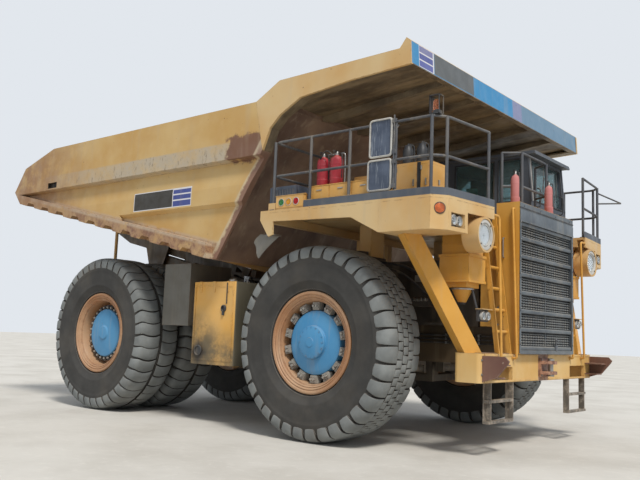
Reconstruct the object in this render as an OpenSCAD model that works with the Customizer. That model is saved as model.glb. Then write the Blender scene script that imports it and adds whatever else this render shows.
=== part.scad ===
// Rigid-frame mining dump truck at real size, in millimetres.
// X points forward, Y to the truck's left, Z up; the origin is on the ground under the middle of the box.
// Inside at_axle() every X is counted forward from the rear axle's centre line.

/* [Overall] */
// Rear axle centre to front axle centre
wheelbase = 5576; // [5400:1:5800]
// Rear axle centre back to the tip of the body's tail
tail_reach = 3110; // [3000:1:3300]
// Front axle centre forward to the front of the bumper steps
nose_reach = 2944; // [2900:1:3100]
// Width over the body sides, the canopy and the decks
body_w = 6180; // [6100:1:6300]

/* [Tyres and wheels] */
// Radius out to the tips of the tread lugs
tyre_r = 1505; // [1480:1:1530]
// Width over the tyre's sidewalls
tyre_w = 930; // [880:1:950]
// Radius at which the tyre seats on its rim
bead_r = 650; // [640:1:660]
// Radius of the rim's outer flange
flange_r = 790; // [770:1:800]
// Distance between the rim's two flanges
rim_w = 690; // [650:1:720]
// Centre plane of a front tyre from the middle of the truck
front_tyre_y = 2365; // [2340:1:2390]
// Centre plane of an outer rear tyre from the middle of the truck
rear_tyre_y = 2345; // [2320:1:2370]
// Spacing of the twin tyres
twin_gap = 1070; // [1040:1:1080]
// Lugs round each shoulder of a front tyre
front_lugs = 36; // [30:1:40]
// Lugs round each shoulder of a rear tyre
rear_lugs = 40; // [30:1:44]
// Running clearance round shafts and pins
run_gap = 0.3; // [0.2:0.1:1]
// Clearance of a face that slides or rests on another piece
seat_gap = 0.3; // [0.2:0.1:1]

/* [Frame] */
// Height of a frame rail's underside, ahead of the rear axle
rail_z = 1250; // [1230:1:1300]
// Depth of a frame rail at the front
rail_h = 600; // [560:1:640]
// Width of a frame rail
rail_w = 200; // [160:1:220]
// Middle of a frame rail from the middle of the truck
rail_y = 450; // [440:1:480]
// Tips of the bumper steps ahead of the frame rails' front ends
rail_setback = 820; // [800:1:840]
// Radius of the tube that carries the hoist cylinders
hoist_tube_r = 110; // [90:1:130]

/* [Front axle] */
// Kingpin from the middle of the truck
kingpin_y = 1620; // [1600:1:1640]
// Radius of the suspension cylinder over the kingpin
front_strut_r = 190; // [170:1:210]
// Height of the suspension cylinder's lower end
front_strut_z = 1950; // [1930:1:2000]
// Height of the suspension cylinder's upper end
front_strut_top_z = 3020; // [2980:1:3050]
// Radius of the spindle that carries a front wheel
spindle_r = 190; // [170:1:210]
// Length of the steering arm behind the kingpin, for the tie rod
tie_arm = 650; // [620:1:680]
// Length of the steering arm ahead of the kingpin, for the cylinder
ram_arm = 480; // [460:1:500]

/* [Rear axle] */
// Radius of the axle's middle casing
casing_r = 500; // [460:1:520]
// Radius of the tube that carries the rear wheels
axle_tube_r = 280; // [260:1:300]

/* [Body] */
// Height of the body's underside at its front corner
body_front_z = 2840; // [2820:1:2880]
// Front corner of the body's underside, ahead of the rear axle
body_front_x = 3460; // [3430:1:3500]
// Slope of the body's floor
floor_slope = 12.95; // [12.5:0.05:13.2]
// Height of the body's top rail
rail_top_z = 5400; // [5350:1:5450]
// Depth of the cross ribs under the floor, at the sides
rib_h = 270; // [240:1:300]
// How much lower the floor is in the middle than at the sides
floor_vee = 200; // [150:1:240]
// Thickness of the floor plate
floor_t = 40; // [20:1:60]
// Depth of the two long beams under the floor, below the side ribs
beam_h = 450; // [430:1:480]
// Depth of the body's side, from its inner face to its outermost edge
side_depth = 230; // [210:1:250]
// Thickness of the canopy plate
canopy_t = 60; // [40:1:80]
// Body pivot behind the rear axle
pivot_x = -1000; // [-1040:1:-980]
// Height of the body pivot
pivot_z = 2950; // [2930:1:2970]
// Radius of the pivot pins
pivot_r = 100; // [80:1:120]

/* [Hoist] */
// Middle of a hoist cylinder from the middle of the truck
hoist_y = 850; // [830:1:870]
// Lower hoist pin ahead of the rear axle
hoist_low_x = 2000; // [1980:1:2020]
// Height of the lower hoist pin
hoist_low_z = 1000; // [980:1:1020]
// Upper hoist pin ahead of the rear axle
hoist_top_x = 2300; // [2280:1:2320]
// Height of the upper hoist pin
hoist_top_z = 2850; // [2840:1:2860]
// Radius of the hoist's barrel
barrel_r = 140; // [130:1:145]
// Radius of the hoist's pins
hoist_pin_r = 55; // [45:1:60]

/* [Decks] */
// Height of the deck's walking surface
deck_z = 3550; // [3530:1:3580]
// Rear edge of the decks
deck_rear_x = 4720; // [4700:1:4760]
// Height of the handrails
rail_top = 4650; // [4600:1:4700]
// Height of the middle rail
rail_mid = 4100; // [4050:1:4150]
// Radius of a handrail tube
tube_r = 21; // [18:1:25]

/* [Radiator] */
// Front face of the radiator guard ahead of the bumper's
guard_reach = 80; // [70:1:100]
// Depth of the radiator guard's side
guard_depth = 380; // [360:1:400]
// Half width of the radiator guard
guard_y = 1053; // [1040:1:1060]
// Height of the radiator guard's top
guard_top_z = 3750; // [3700:1:3780]

/* [Bumper] */
// Tips of the bumper steps ahead of the bumper's front face
step_reach = 400; // [380:1:410]
// Half width of the bumper
bumper_y = 2105; // [2080:1:2130]
// Height of the bumper's underside
bumper_z = 1040; // [1020:1:1060]
// Height of the bumper's top
bumper_top_z = 1450; // [1430:1:1470]
// Radius of the tow pin
tow_pin_r = 40; // [35:1:45]

/* [Cab] */
// Front face of the cab behind the bumper's
cab_setback = 520; // [500:1:540]
// Length of the cab
cab_len = 1900; // [1850:1:1950]
// Left face of the cab in from the side of the truck
cab_inset = 890; // [870:1:910]
// Width of the cab
cab_w = 1500; // [1480:1:1540]
// Height of the cab's roof
cab_top_z = 4990; // [4950:1:5010]
// Thickness of the cab's walls
cab_t = 80; // [70:1:90]

/* [Tanks] */
// Outer face of a side tank
tank_y = 2510; // [2490:1:2530]
// Rear face of the main tank
tank_x = 2550; // [2530:1:2570]
// Gap between the main tank and the front tyre
tank_gap = 421; // [410:1:450]
// Height of the main tank's underside
tank_z = 1030; // [1010:1:1050]
// Height of the main tank
tank_h = 1460; // [1440:1:1480]

/* [Hidden] */

// Colours of the real machine
yellow = [0.80, 0.60, 0.26];
sky_blue = [0.25, 0.55, 0.75];
dark_grey = [0.22, 0.23, 0.25];
mid_grey = [0.45, 0.46, 0.48];
rust_brown = [0.33, 0.24, 0.20];
tyre_grey = [0.30, 0.29, 0.28];
rim_tan = [0.72, 0.50, 0.30];
fire_red = [0.72, 0.14, 0.12];
glass_tint = [0.55, 0.65, 0.70, 0.4];
steel = [0.62, 0.62, 0.63];
maroon = [0.36, 0.20, 0.18];

// Stations worked out from the driving sizes
nose_x = wheelbase + nose_reach;
rear_x = (tail_reach - nose_x) / 2;
front_x = wheelbase;
hub_z = tyre_r;
half_w = body_w / 2;
side_in_y = half_w - side_depth;
bumper_x = nose_x - step_reach;
rail_front_x = nose_x - rail_setback;
grille_x = bumper_x + guard_reach;
guard_back_x = grille_x - guard_depth;
cab_x = bumper_x - cab_setback;
cab_left_y = half_w - cab_inset;
cab_y = cab_left_y - cab_w;
tank_len = front_x - tyre_r - tank_gap - tank_x;
engine_x = deck_rear_x + 280;
gearbox_x = deck_rear_x - 770;
canopy_x = bumper_x - 600;
slope_rise = tan(floor_slope);

// Height of the body's underside at the sides, at a station ahead of the rear axle
function under_z(x) = body_front_z + (body_front_x - x) * slope_rise;

// Height of the underside of the long beams
function beam_z(x) = under_z(x) - beam_h / cos(floor_slope);

module at_axle() {
    translate([rear_x, 0, 0]) children();
}

// Copies its children to the truck's other side as well
module both_sides() {
    children();
    mirror([0, 1, 0]) children();
}

// Extrudes an outline drawn in X and Z sideways, from y0 towards the left
module side_plate(points, y0, t) {
    translate([0, y0 + t, 0]) rotate([90, 0, 0]) linear_extrude(height = t) polygon(points);
}

// Extrudes an outline drawn in Y and Z forwards, from x0
module cross_plate(points, x0, t) {
    translate([x0, 0, 0]) rotate([90, 0, 90]) linear_extrude(height = t) polygon(points);
}

// Extrudes an outline drawn in X and Y upwards, from z0
module flat_plate(points, z0, t) {
    translate([0, 0, z0]) linear_extrude(height = t) polygon(points);
}

// Box from one corner to the opposite one
module block(low, high) {
    translate(low) cube(high - low);
}

// Box whose upright edges are rounded to a radius
module rounded_block(low, high, r) {
    block(low + [r, 0, 0], high - [r, 0, 0]);
    block(low + [0, r, 0], high - [0, r, 0]);
    for (x = [low[0] + r, high[0] - r], y = [low[1] + r, high[1] - r]) {
        translate([x, y, low[2]]) cylinder(h = high[2] - low[2], r = r, $fn = 32);
    }
}

// Round bar between two points
module bar(a, b, r, sides = 8) {
    d = b - a;
    length = norm(d);
    translate(a) rotate([0, acos(d[2] / length), atan2(d[1], d[0])]) cylinder(h = length, r = r, $fn = sides);
}

// Cylinder along Y, from y0 towards the left
module cross_cylinder(x, y0, z, length, r, sides = 48) {
    translate([x, y0 + length, z]) rotate([90, 0, 0]) cylinder(h = length, r = r, $fn = sides);
}

// Turns a profile of [radius, place along the axle] pairs about the axle, outer side towards the left
module wheel_turn(profile) {
    rotate([-90, 0, 0]) rotate_extrude($fn = 96) polygon(profile);
}

// Frame

pad_t = 40;
rail_top_front = 3000;
hoist_eye_t = 110;
pin_cap_t = 25;

// Height of a rail's sloping top, one pad below the body's long beams
function rail_top_z(x) = beam_z(x) - (pad_t + seat_gap) / cos(floor_slope);
rail_end_r = (rail_top_z(pivot_x) - pivot_z) * cos(floor_slope);

module rail_outline() {
    polygon([
        [rail_front_x, rail_z], [2300, rail_z], [1250, 2200], [-600, 2450], [pivot_x, pivot_z],
        [pivot_x + rail_end_r * sin(floor_slope), pivot_z + rail_end_r * cos(floor_slope)],
        [rail_top_front, rail_top_z(rail_top_front)], [3900, rail_z + rail_h], [rail_front_x, rail_z + rail_h]]);
    translate([pivot_x, pivot_z]) circle(r = rail_end_r, $fn = 48);
}

module frame_rails() color(yellow) at_axle() {
    rail_in_y = rail_y - rail_w / 2;
    tube_y = hoist_y - hoist_eye_t / 2 - 5;
    pin_out_y = hoist_y + hoist_eye_t / 2 + 5;
    both_sides() {
        translate([0, rail_y + rail_w / 2, 0]) rotate([90, 0, 0]) linear_extrude(height = rail_w) rail_outline();
        // Hanger for the hoist tube, the hoist pin and its cap
        side_plate([
            [hoist_low_x - 110, hoist_low_z], [hoist_low_x + 110, hoist_low_z],
            [hoist_low_x + 200, rail_z + 200], [hoist_low_x - 200, rail_z + 600]], rail_in_y + 40, 120);
        cross_cylinder(hoist_low_x, tube_y - 20, hoist_low_z, pin_out_y + pin_cap_t - tube_y + 20, hoist_pin_r);
        cross_cylinder(hoist_low_x, pin_out_y, hoist_low_z, pin_cap_t, hoist_pin_r + 30);
        // Body pivot pin and its cap
        cross_cylinder(pivot_x, rail_in_y, pivot_z, lug_out_y + 10 + pin_cap_t - rail_in_y, pivot_r);
        cross_cylinder(pivot_x, lug_out_y + 10, pivot_z, pin_cap_t, pivot_r + 25);
    }
    cross_cylinder(hoist_low_x, -tube_y, hoist_low_z, 2 * tube_y, hoist_tube_r);
    cross_cylinder(-500, -rail_y, 2780, 2 * rail_y, 150);
    // Cross members: rear edge, underside, top
    for (m = [[gearbox_x - 250, rail_z + 10, 1500], [gearbox_x + 350, rail_z + 10, gearbox_z],
        [rail_front_x - 200, rail_z + 80, rail_z + rail_h - 80]]) {
        block([m[0], -rail_y, m[1]], [m[0] + 160, rail_y, m[2]]);
    }
}
lug_in_y = rail_y + rail_w / 2 + 15;
lug_out_y = lug_in_y + 80;
gearbox_z = rail_z + 80;

tow_z = 1245;
tow_ear_t = 50;
tow_ear_gap = 110;
tow_pin_x = bumper_x + 130;

module bumper() color(yellow) at_axle() {
    hole_low = 1100;
    hole_high = 1780;
    wall = 60;
    difference() {
        union() {
            rounded_block([rail_front_x, -bumper_y, bumper_z], [bumper_x, bumper_y, bumper_top_z], 70);
            block([bumper_x - wall, -170, 1100], [bumper_x + 30, 170, 1390]);
            for (z = [tow_z + tow_ear_gap / 2, tow_z - tow_ear_gap / 2 - tow_ear_t]) {
                flat_plate([[bumper_x, -170], [tow_pin_x, -130], [tow_pin_x + 80, -60],
                    [tow_pin_x + 80, 60], [tow_pin_x, 130], [bumper_x, 170]], z, tow_ear_t);
            }
        }
        both_sides() {
            block([rail_front_x + wall, 150, bumper_z - 10], [bumper_x - wall, hole_high + 60, bumper_top_z - 40]);
            block([bumper_x - 80, hole_low, bumper_z + 30], [bumper_x + 10, hole_high, bumper_z + 220]);
            // Seam of the end block
            block([bumper_x - 8, bumper_y - 120, bumper_z - 10], [bumper_x + 10, bumper_y - 108, bumper_top_z + 10]);
        }
        translate([tow_pin_x, 0, tow_z - 200]) cylinder(h = 400, r = tow_pin_r, $fn = 48);
    }
}

module bumper_steps() color(maroon) at_axle() {
    gusset_y = bumper_y - 85;
    stile_w = 70;
    both_sides() {
        side_plate([
            [bumper_x, bumper_z + 20], [bumper_x, bumper_top_z - 30], [nose_x - 60, bumper_top_z - 30],
            [nose_x, bumper_top_z - 90], [nose_x - 20, bumper_top_z - 130], [nose_x - 180, bumper_z + 90]], gusset_y, 30);
        // Steps: [tip behind the gusset's, height]
        for (step = [[100, 1290], [180, 1110]]) {
            block([bumper_x, gusset_y - 230, step[1]], [nose_x - step[0], gusset_y, step[1] + 20]);
        }
        for (y = [1060, 1760]) {
            block([bumper_x - 100, y, 470], [bumper_x - 80, y + stile_w, bumper_z]);
            block([bumper_x - 100, y, 470], [bumper_x, y + 20, bumper_z]);
        }
        for (z = [470, 760]) {
            block([bumper_x - 80, 1060, z], [bumper_x, 1760 + stile_w, z + 40]);
        }
    }
}

module engine() color(mid_grey) at_axle() {
    block([engine_x, -620, rail_z + rail_h], [guard_back_x - 520, 620, 2950]);
}

axle_nose_x = 680;

module driveline() color(dark_grey) at_axle() {
    // Transmission between the rails, and its shaft back to the axle's nose
    block([gearbox_x, -330, gearbox_z], [engine_x - seat_gap, 330, 2100]);
    bar([axle_nose_x + 10, 0, hub_z + 60], [gearbox_x + 10, 0, 1650], 90, 16);
}

module radiator_guard() color(yellow) at_axle() {
    t = 60;
    difference() {
        block([guard_back_x, -guard_y, bumper_top_z], [grille_x, guard_y, guard_top_z]);
        block([guard_back_x + 100, -guard_y + t, bumper_top_z + t], [grille_x + 10, guard_y - t, guard_top_z - 300]);
    }
    block([guard_back_x - 300, -guard_y + 80, rail_z + rail_h], [guard_back_x, guard_y - 80, guard_top_z - 300]);
}

module grille() color(mid_grey) at_axle() {
    t = 60;
    rows = 7;
    low = bumper_top_z + t + seat_gap;
    high = guard_top_z - 300 - seat_gap;
    w = guard_y - t - seat_gap;
    pitch = (high - low) / rows;
    for (i = [0:rows - 1]) {
        z = low + i * pitch;
        block([grille_x - 80, -w, z], [grille_x - 10, w, z + 60]);
    }
    block([grille_x - 60, -w, low], [grille_x - 40, w, high]);
}

// Decks

deck_edge_t = 30;
deck_t = 40;
corner_box_x = bumper_x - 1090;
corner_box_y = half_w - 640;
corner_box_z = 3080;
ladder_y = corner_box_y - 670;
ladder_cut_x = bumper_x - 340;

// Outline of the deck's front corner: [ahead of the rear axle, from the middle]
deck_corner = [
    [bumper_x - 250, half_w], [bumper_x - 80, half_w - 200], [bumper_x - 20, half_w - 750], [bumper_x + 30, ladder_y]];

// Front edge of the deck at a distance from the middle, between the last two corners
function deck_edge_x(y) = lookup(y, [for (i = [3:-1:1]) [deck_corner[i][1], deck_corner[i][0]]]);

function reverse(list) = [for (i = [len(list) - 1:-1:0]) list[i]];
function other_side(points) = [for (p = points) [p[0], -p[1]]];

plate_low = deck_z - deck_t;

module decks() color(yellow) at_axle() {
    beam_low = 3380;
    flat_plate(concat(
        [[deck_rear_x, half_w]], deck_corner, [[ladder_cut_x, ladder_y], [ladder_cut_x, -ladder_y]],
        reverse(other_side(deck_corner)), [[deck_rear_x, -half_w]]), plate_low, deck_t);
    both_sides() {
        // Edge beams, the tower's head and the rear post on the rail
        block([corner_box_x, ladder_y, beam_low], [bumper_x - 120, ladder_y + 60, plate_low]);
        block([deck_rear_x, ladder_y, beam_low], [deck_rear_x + 100, half_w - deck_edge_t - 2, plate_low]);
        block([front_x - 120, 1020, tower_top_z], [front_x + 120, 1400, plate_low]);
        block([deck_rear_x + 10, rail_y - 70, rail_z + rail_h], [deck_rear_x + 90, rail_y + 70, beam_low]);
    }
    block([deck_rear_x, -ladder_y, beam_low], [deck_rear_x + 100, ladder_y, plate_low]);
}

module deck_sides() color(yellow) at_axle() {
    band_h = 140;
    top = plate_low - seat_gap;
    box_x = corner_box_x + 1;
    both_sides() {
        side_plate([
            [deck_rear_x, top], [deck_rear_x, 3400], [deck_rear_x + 190, 3130], [deck_rear_x + 280, 3160],
            [deck_rear_x + 280, 3370], [corner_box_x - 500, 3330], [corner_box_x, corner_box_z],
            [corner_box_x, top]], half_w - deck_edge_t, deck_edge_t);
        difference() {
            flat_plate([
                [box_x, corner_box_y], [box_x, half_w], deck_corner[0], deck_corner[1],
                [deck_edge_x(corner_box_y), corner_box_y]], corner_box_z, top - corner_box_z);
            block([pocket_x, half_w - 570, 3140], [grille_x, half_w - 260, 3330]);
        }
        flat_plate([
            [deck_edge_x(corner_box_y) - 30, corner_box_y - 1], [deck_edge_x(corner_box_y), corner_box_y - 1],
            deck_corner[3], deck_corner[3] - [30, 0]], top - band_h, band_h);
    }
}

module kick_plates() color(mid_grey) at_axle() {
    kick_plate(deck_rear_x);
    mirror([0, 1, 0]) kick_plate(signal_x1 + 10);
}

module kick_plate(start_x) {
    t = 15;
    flat_plate(concat(
        [[start_x, half_w]], deck_corner, reverse([for (p = deck_corner) p - [t, t]]), [[start_x, half_w - t]]),
        deck_z, 105);
}

// Box of the three signal lamps on the right side
signal_x0 = deck_rear_x + 320;
signal_x1 = deck_rear_x + 890;

post_y = half_w - 50;
post_r = tube_r + 4;
mirror_post_x = bumper_x - 860;
arm_post = [bumper_x - 135, half_w - 220];
rear_post = [deck_rear_x + 230, ladder_y + 120];

// Posts of a deck's rail, in order round it, and of the rail over the radiator: [X, Y, foot height]
side_posts = [
    [rear_post[0], rear_post[1], deck_z], [rear_post[0], post_y, deck_z], [rear_post[0] + 750, post_y, deck_z],
    [mirror_post_x - 810, post_y, deck_z],
    [mirror_post_x, post_y, deck_z], [bumper_x - 275, post_y, deck_z], [arm_post[0], arm_post[1], deck_z],
    [bumper_x - 35, ladder_y + 70, deck_z]];
guard_posts = [
    [bumper_x - 420, -640, deck_z], [bumper_x - 150, -480, guard_top_z], [bumper_x - 150, 480, guard_top_z],
    [bumper_x - 420, 640, deck_z]];

// Flat pieces of rail: [first post, last post, post that carries it at its start, the same at its end]
side_runs = [[1, 5, true, true], [0, 1, true, false], [5, 6, false, true], [6, 7, false, true]];
guard_runs = [[1, 2, true, true], [0, 1, true, false], [2, 3, false, true]];

// Rails between two posts; at an end whose post belongs to the next piece they stop just short of it
module rail_run(posts, run) {
    from = posts[run[0]];
    to = posts[run[1]];
    way = ([to[0], to[1]] - [from[0], from[1]]) / norm([to[0], to[1]] - [from[0], from[1]]);
    short = post_r + tube_r + 2;
    a = [from[0], from[1]] + way * (run[2] ? 0 : short);
    b = [to[0], to[1]] - way * (run[3] ? 0 : short);
    for (z = [rail_mid, rail_top]) bar([a[0], a[1], z], [b[0], b[1], z], tube_r);
    for (i = [run[0] + (run[2] ? 0 : 1):run[1] - (run[3] ? 0 : 1)]) rail_post(posts[i][0], posts[i][1], posts[i][2]);
}

module rail_post(x, y, foot) {
    translate([x, y, foot]) rotate([0, 0, 22.5]) cylinder(h = rail_top + post_r - foot, r = post_r, $fn = 8);
}

module handrails() color(dark_grey) at_axle() {
    both_sides() for (run = side_runs) rail_run(side_posts, run);
    for (run = guard_runs) rail_run(guard_posts, run);
}

module deck_struts() color(yellow) at_axle() {
    top = [bumper_x - 820, half_w - 390, 3080];
    foot = [bumper_x - 260, bumper_y - 175, bumper_top_z];
    w = 230;
    both_sides() intersection() {
        d = foot - top;
        reach = norm(d);
        translate(top) rotate([0, acos(d[2] / reach), atan2(d[1], d[0])])
            translate([-w / 2, -w / 2, -200]) cube([w, w, reach + 400]);
        block([bumper_x - 1600, 1000, bumper_top_z], [bumper_x + 400, half_w - 10, 3080]);
    }
}

module ladders() color(yellow) at_axle() {
    inner_y = guard_y + 67;
    outer_y = ladder_y - 280;
    foot_x = bumper_x - 40;
    head_x = ladder_cut_x;
    rungs = 6;
    run = foot_x - head_x;
    rise = deck_z - bumper_top_z;
    both_sides() {
        for (y = [inner_y, outer_y]) {
            side_plate([[foot_x - 35, bumper_top_z], [foot_x + 35, bumper_top_z],
                [head_x + 70, deck_z], [head_x, deck_z]], y, 25);
        }
        for (i = [1:rungs]) {
            z = bumper_top_z + rise * i / (rungs + 0.6);
            x = foot_x - run * i / (rungs + 0.6);
            cross_cylinder(x, inner_y + 10, z, outer_y - inner_y, 18, 12);
        }
    }
}

hand_bar_r = 19;

// Bars beside the ladders: out from the guard's side or the deck's front strip, and down to the bumper's face
module hand_bars() color(yellow) at_axle() {
    foot_z = 1390;
    // X and Y of the upper end, its height, and how far the bar stands off sideways
    both_sides() for (b = [
        [bumper_x - 10, guard_y + seat_gap, 3640, 42],
        [bumper_x + 15, ladder_y - seat_gap, 3440, lamp_y - lamp_r - 210 - ladder_y]]) {
        y = b[1] + b[3];
        route = [[b[0], b[1], b[2]], [b[0], y, b[2]], [bumper_x + 65, y, foot_z], [bumper_x + seat_gap, y, foot_z]];
        for (i = [0:2]) bar(route[i], route[i + 1], hand_bar_r, 16);
        for (i = [1, 2]) translate(route[i]) sphere(r = hand_bar_r + 1, $fn = 32);
    }
}

// Air cleaner housings, each with its dust bowl
module air_cleaners() color(yellow) at_axle() translate([bumper_x - 450, 0, 0]) both_sides() {
    // Half length, half width, underside, top
    for (part = [[210, 230, 2840, 3380], [240, 250, 2460, 2840], [170, 190, 2380, 2460]]) {
        block([-part[0], 1830 - part[1], part[2]], [part[0], 1830 + part[1], part[3]]);
    }
    translate([0, 1830, 2170]) cylinder(h = 220, r1 = 60, r2 = 165, $fn = 48);
}

lamp_x = bumper_x + 50;
lamp_y = corner_box_y - 390;
lamp_z = 3110;
lamp_r = 250;
lamp_depth = 260;
pocket_x = bumper_x - 130;

module headlamps() color(yellow) at_axle() {
    both_sides() {
        difference() {
            translate([lamp_x - lamp_depth, lamp_y, lamp_z]) rotate([0, 90, 0]) cylinder(h = lamp_depth, r = lamp_r, $fn = 64);
            translate([lamp_x - 60, lamp_y, lamp_z]) rotate([0, 90, 0]) cylinder(h = 100, r = lamp_r - 25, $fn = 64);
        }
        block([lamp_x - lamp_depth + 10, lamp_y - 60, lamp_z + lamp_r - 20], [lamp_x - 160, lamp_y + 60, deck_z - deck_t]);
    }
}

module lamp_glass() color(glass_tint) at_axle() {
    both_sides() {
        translate([lamp_x - 60, lamp_y, lamp_z]) rotate([0, 90, 0]) cylinder(h = 45, r = lamp_r - 25, $fn = 64);
        for (inset = [490, 340]) translate([pocket_x, half_w - inset, 3235]) rotate([0, 90, 0]) cylinder(h = 30, r = 62, $fn = 32);
    }
}

// Cab

cab_back_x = cab_x - cab_len;
cab_floor_z = deck_z;
sill_z = 4080;
head_z = 4860;
door_x0 = cab_x - 1500;
door_x1 = cab_x - 720;
door_z0 = deck_z + 80;
door_gap = 8;

module cab_outline(grow) {
    polygon([
        [cab_back_x - grow, cab_floor_z - grow], [cab_x + grow, cab_floor_z - grow], [cab_x + grow, sill_z],
        [cab_x - 70 + grow, cab_top_z + grow], [cab_back_x - grow, cab_top_z + grow]]);
}

module cab_shell() color(dark_grey) at_axle() {
    visor_reach = 150;
    difference() {
        union() {
            translate([0, cab_left_y, 0]) rotate([90, 0, 0]) linear_extrude(height = cab_w) cab_outline(0);
            block([cab_back_x, cab_y - 30, cab_top_z - 60], [cab_x - 70 + visor_reach, cab_left_y + 30, cab_top_z]);
        }
        translate([0, cab_left_y - cab_t, 0]) rotate([90, 0, 0])
            linear_extrude(height = cab_w - 2 * cab_t) cab_outline(-cab_t);
        // Windscreen
        block([cab_x - 200, cab_y + cab_t + 40, sill_z + 40], [cab_x + 50, cab_left_y - cab_t - 40, head_z]);
        // Rear window
        block([cab_back_x - 10, cab_y + cab_t + 120, sill_z + 100], [cab_back_x + cab_t + 10, cab_left_y - cab_t - 120, head_z]);
        // Side windows, right
        block([door_x0, cab_y - 10, sill_z + 40], [door_x1, cab_y + cab_t + 10, head_z]);
        block([door_x1 + 100, cab_y - 10, sill_z + 40], [cab_x - 180, cab_y + cab_t + 10, head_z]);
        // Left quarter window and the doorway
        block([door_x1 + 100, cab_left_y - cab_t - 10, sill_z + 40], [cab_x - 180, cab_left_y + 10, head_z]);
        block([door_x0, cab_left_y - cab_t - 10, door_z0], [door_x1, cab_left_y + 10, head_z]);
    }
    door_hinge_fixed();
}

// Front face of the cab at a height above the sill
function cab_face_x(z) = cab_x - 70 * (z - sill_z) / (cab_top_z - sill_z);

glass_t = 12;

module cab_glass() color(glass_tint) at_axle() {
    pane_y0 = cab_y + cab_t + 40;
    pane_y1 = cab_left_y - cab_t - 40;
    screen_x0 = cab_face_x(sill_z + 40) - 40;
    screen_x1 = cab_face_x(head_z) - 40;
    side_plate([[screen_x0 - glass_t, sill_z + 40], [screen_x0, sill_z + 40], [screen_x1, head_z],
        [screen_x1 - glass_t, head_z]], pane_y0, pane_y1 - pane_y0);
    block([cab_back_x + 30, pane_y0 + 80, sill_z + 100], [cab_back_x + 30 + glass_t, pane_y1 - 80, head_z]);
    block([door_x0, cab_y + 30, sill_z + 40], [door_x1, cab_y + 30 + glass_t, head_z]);
    for (y = [cab_y + 30, cab_left_y - 30 - glass_t]) {
        block([door_x1 + 100, y, sill_z + 40], [cab_x - 180, y + glass_t, head_z]);
    }
}

module cab_inside() color(dark_grey) at_axle() {
    seat_x = cab_x - 1250;
    seat_y = cab_left_y - 650;
    block([seat_x - 150, seat_y - 150, cab_floor_z + cab_t], [seat_x + 150, seat_y + 150, cab_floor_z + 400]);
    block([seat_x - 260, seat_y - 250, cab_floor_z + 400], [seat_x + 260, seat_y + 250, cab_floor_z + 520]);
    block([seat_x - 260, seat_y - 240, cab_floor_z + 520], [seat_x - 140, seat_y + 240, cab_floor_z + 1150]);
    block([cab_x - 450, cab_y + cab_t, cab_floor_z + cab_t], [cab_x - cab_t, cab_left_y - cab_t, sill_z]);
    translate([cab_x - 520, seat_y, sill_z - 20]) rotate([0, -30, 0]) {
        rotate_extrude($fn = 48) translate([200, 0]) circle(r = 16, $fn = 16);
        for (a = [90, 210, 330]) bar([0, 0, 0], [195 * cos(a), 195 * sin(a), 0], 10);
    }
    bar([cab_x - 400, seat_y, sill_z - 250], [cab_x - 520, seat_y, sill_z - 20], 25, 16);
}

hinge_x = door_x0 + door_gap / 2;
hinge_r = 20;
hinge_y = cab_left_y + hinge_r + 1;
hinge_pin_r = 10;
hinge_half = 30;
hinge_heights = [3850, 4650];

module door_hinge_fixed() {
    for (z = hinge_heights) {
        translate([hinge_x, hinge_y, z - 2 * hinge_half]) cylinder(h = 4 * hinge_half, r = hinge_pin_r, $fn = 32);
        for (low = [z - 2 * hinge_half, z + hinge_half + 1]) {
            translate([hinge_x, hinge_y, low]) cylinder(h = hinge_half - 1, r = hinge_r, $fn = 32);
            block([hinge_x - 60, cab_left_y - 10, low], [hinge_x - 5, hinge_y + 6, low + hinge_half - 1]);
        }
    }
}

module cab_door() color(dark_grey) at_axle() {
    difference() {
        union() {
            block([door_x0 + door_gap, cab_left_y - 60, door_z0 + door_gap],
                [door_x1 - door_gap, cab_left_y - 5, head_z - door_gap]);
            for (z = hinge_heights) {
                translate([hinge_x, hinge_y, z - hinge_half]) cylinder(h = 2 * hinge_half, r = hinge_r, $fn = 32);
                block([hinge_x + 5, cab_left_y - 10, z - hinge_half], [hinge_x + 60, hinge_y + 6, z + hinge_half]);
            }
        }
        block([door_x0 + 90, cab_left_y - 100, sill_z + 40], [door_x1 - 90, cab_left_y + 5, head_z - 90]);
        for (z = hinge_heights) {
            translate([hinge_x, hinge_y, z - 100]) cylinder(h = 200, r = hinge_pin_r + run_gap, $fn = 32);
        }
    }
}

module door_glass() color(glass_tint) at_axle() {
    block([door_x0 + 90, cab_left_y - 40, sill_z + 40], [door_x1 - 90, cab_left_y - 40 + glass_t, head_z - 90]);
}

// Things that stand on the decks

module deck_boxes() color(yellow) at_axle() {
    // Two cabinets, the low box along the rail, the grated box at the rear, and the signal lamps' box
    // Back, front, inset of the outer face from the side, width, top
    for (b = [
        [bumper_x - 1220, bumper_x - 620, 590, 500, 4180], [bumper_x - 2020, bumper_x - 1320, 640, 450, 4080],
        [signal_x1 + 10, bumper_x - 1230, 110, 360, 3880], [deck_rear_x + 60, deck_rear_x + 630, 140, 650, 3950],
        [signal_x0, signal_x1, 10, 90, 3760]]) {
        block([b[0], b[2] - half_w, deck_z], [b[1], b[2] + b[3] - half_w, b[4]]);
    }
}

module extinguishers() color(fire_red) at_axle() {
    // X, Y, foot height and radius of each bottle
    bottles = [
        [signal_x1 + 140, 300 - half_w, 3880, 100], [signal_x1 + 400, 300 - half_w, 3880, 100],
        [bumper_x - 130, -760, guard_top_z, 70], [bumper_x - 30, 300, guard_top_z, 70]];
    for (b = bottles) {
        translate([b[0], b[1], b[2]]) {
            cylinder(h = 480, r = b[3], $fn = 32);
            translate([0, 0, 480]) cylinder(h = 90, r = b[3] * 0.4, $fn = 24);
        }
    }
}

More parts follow.
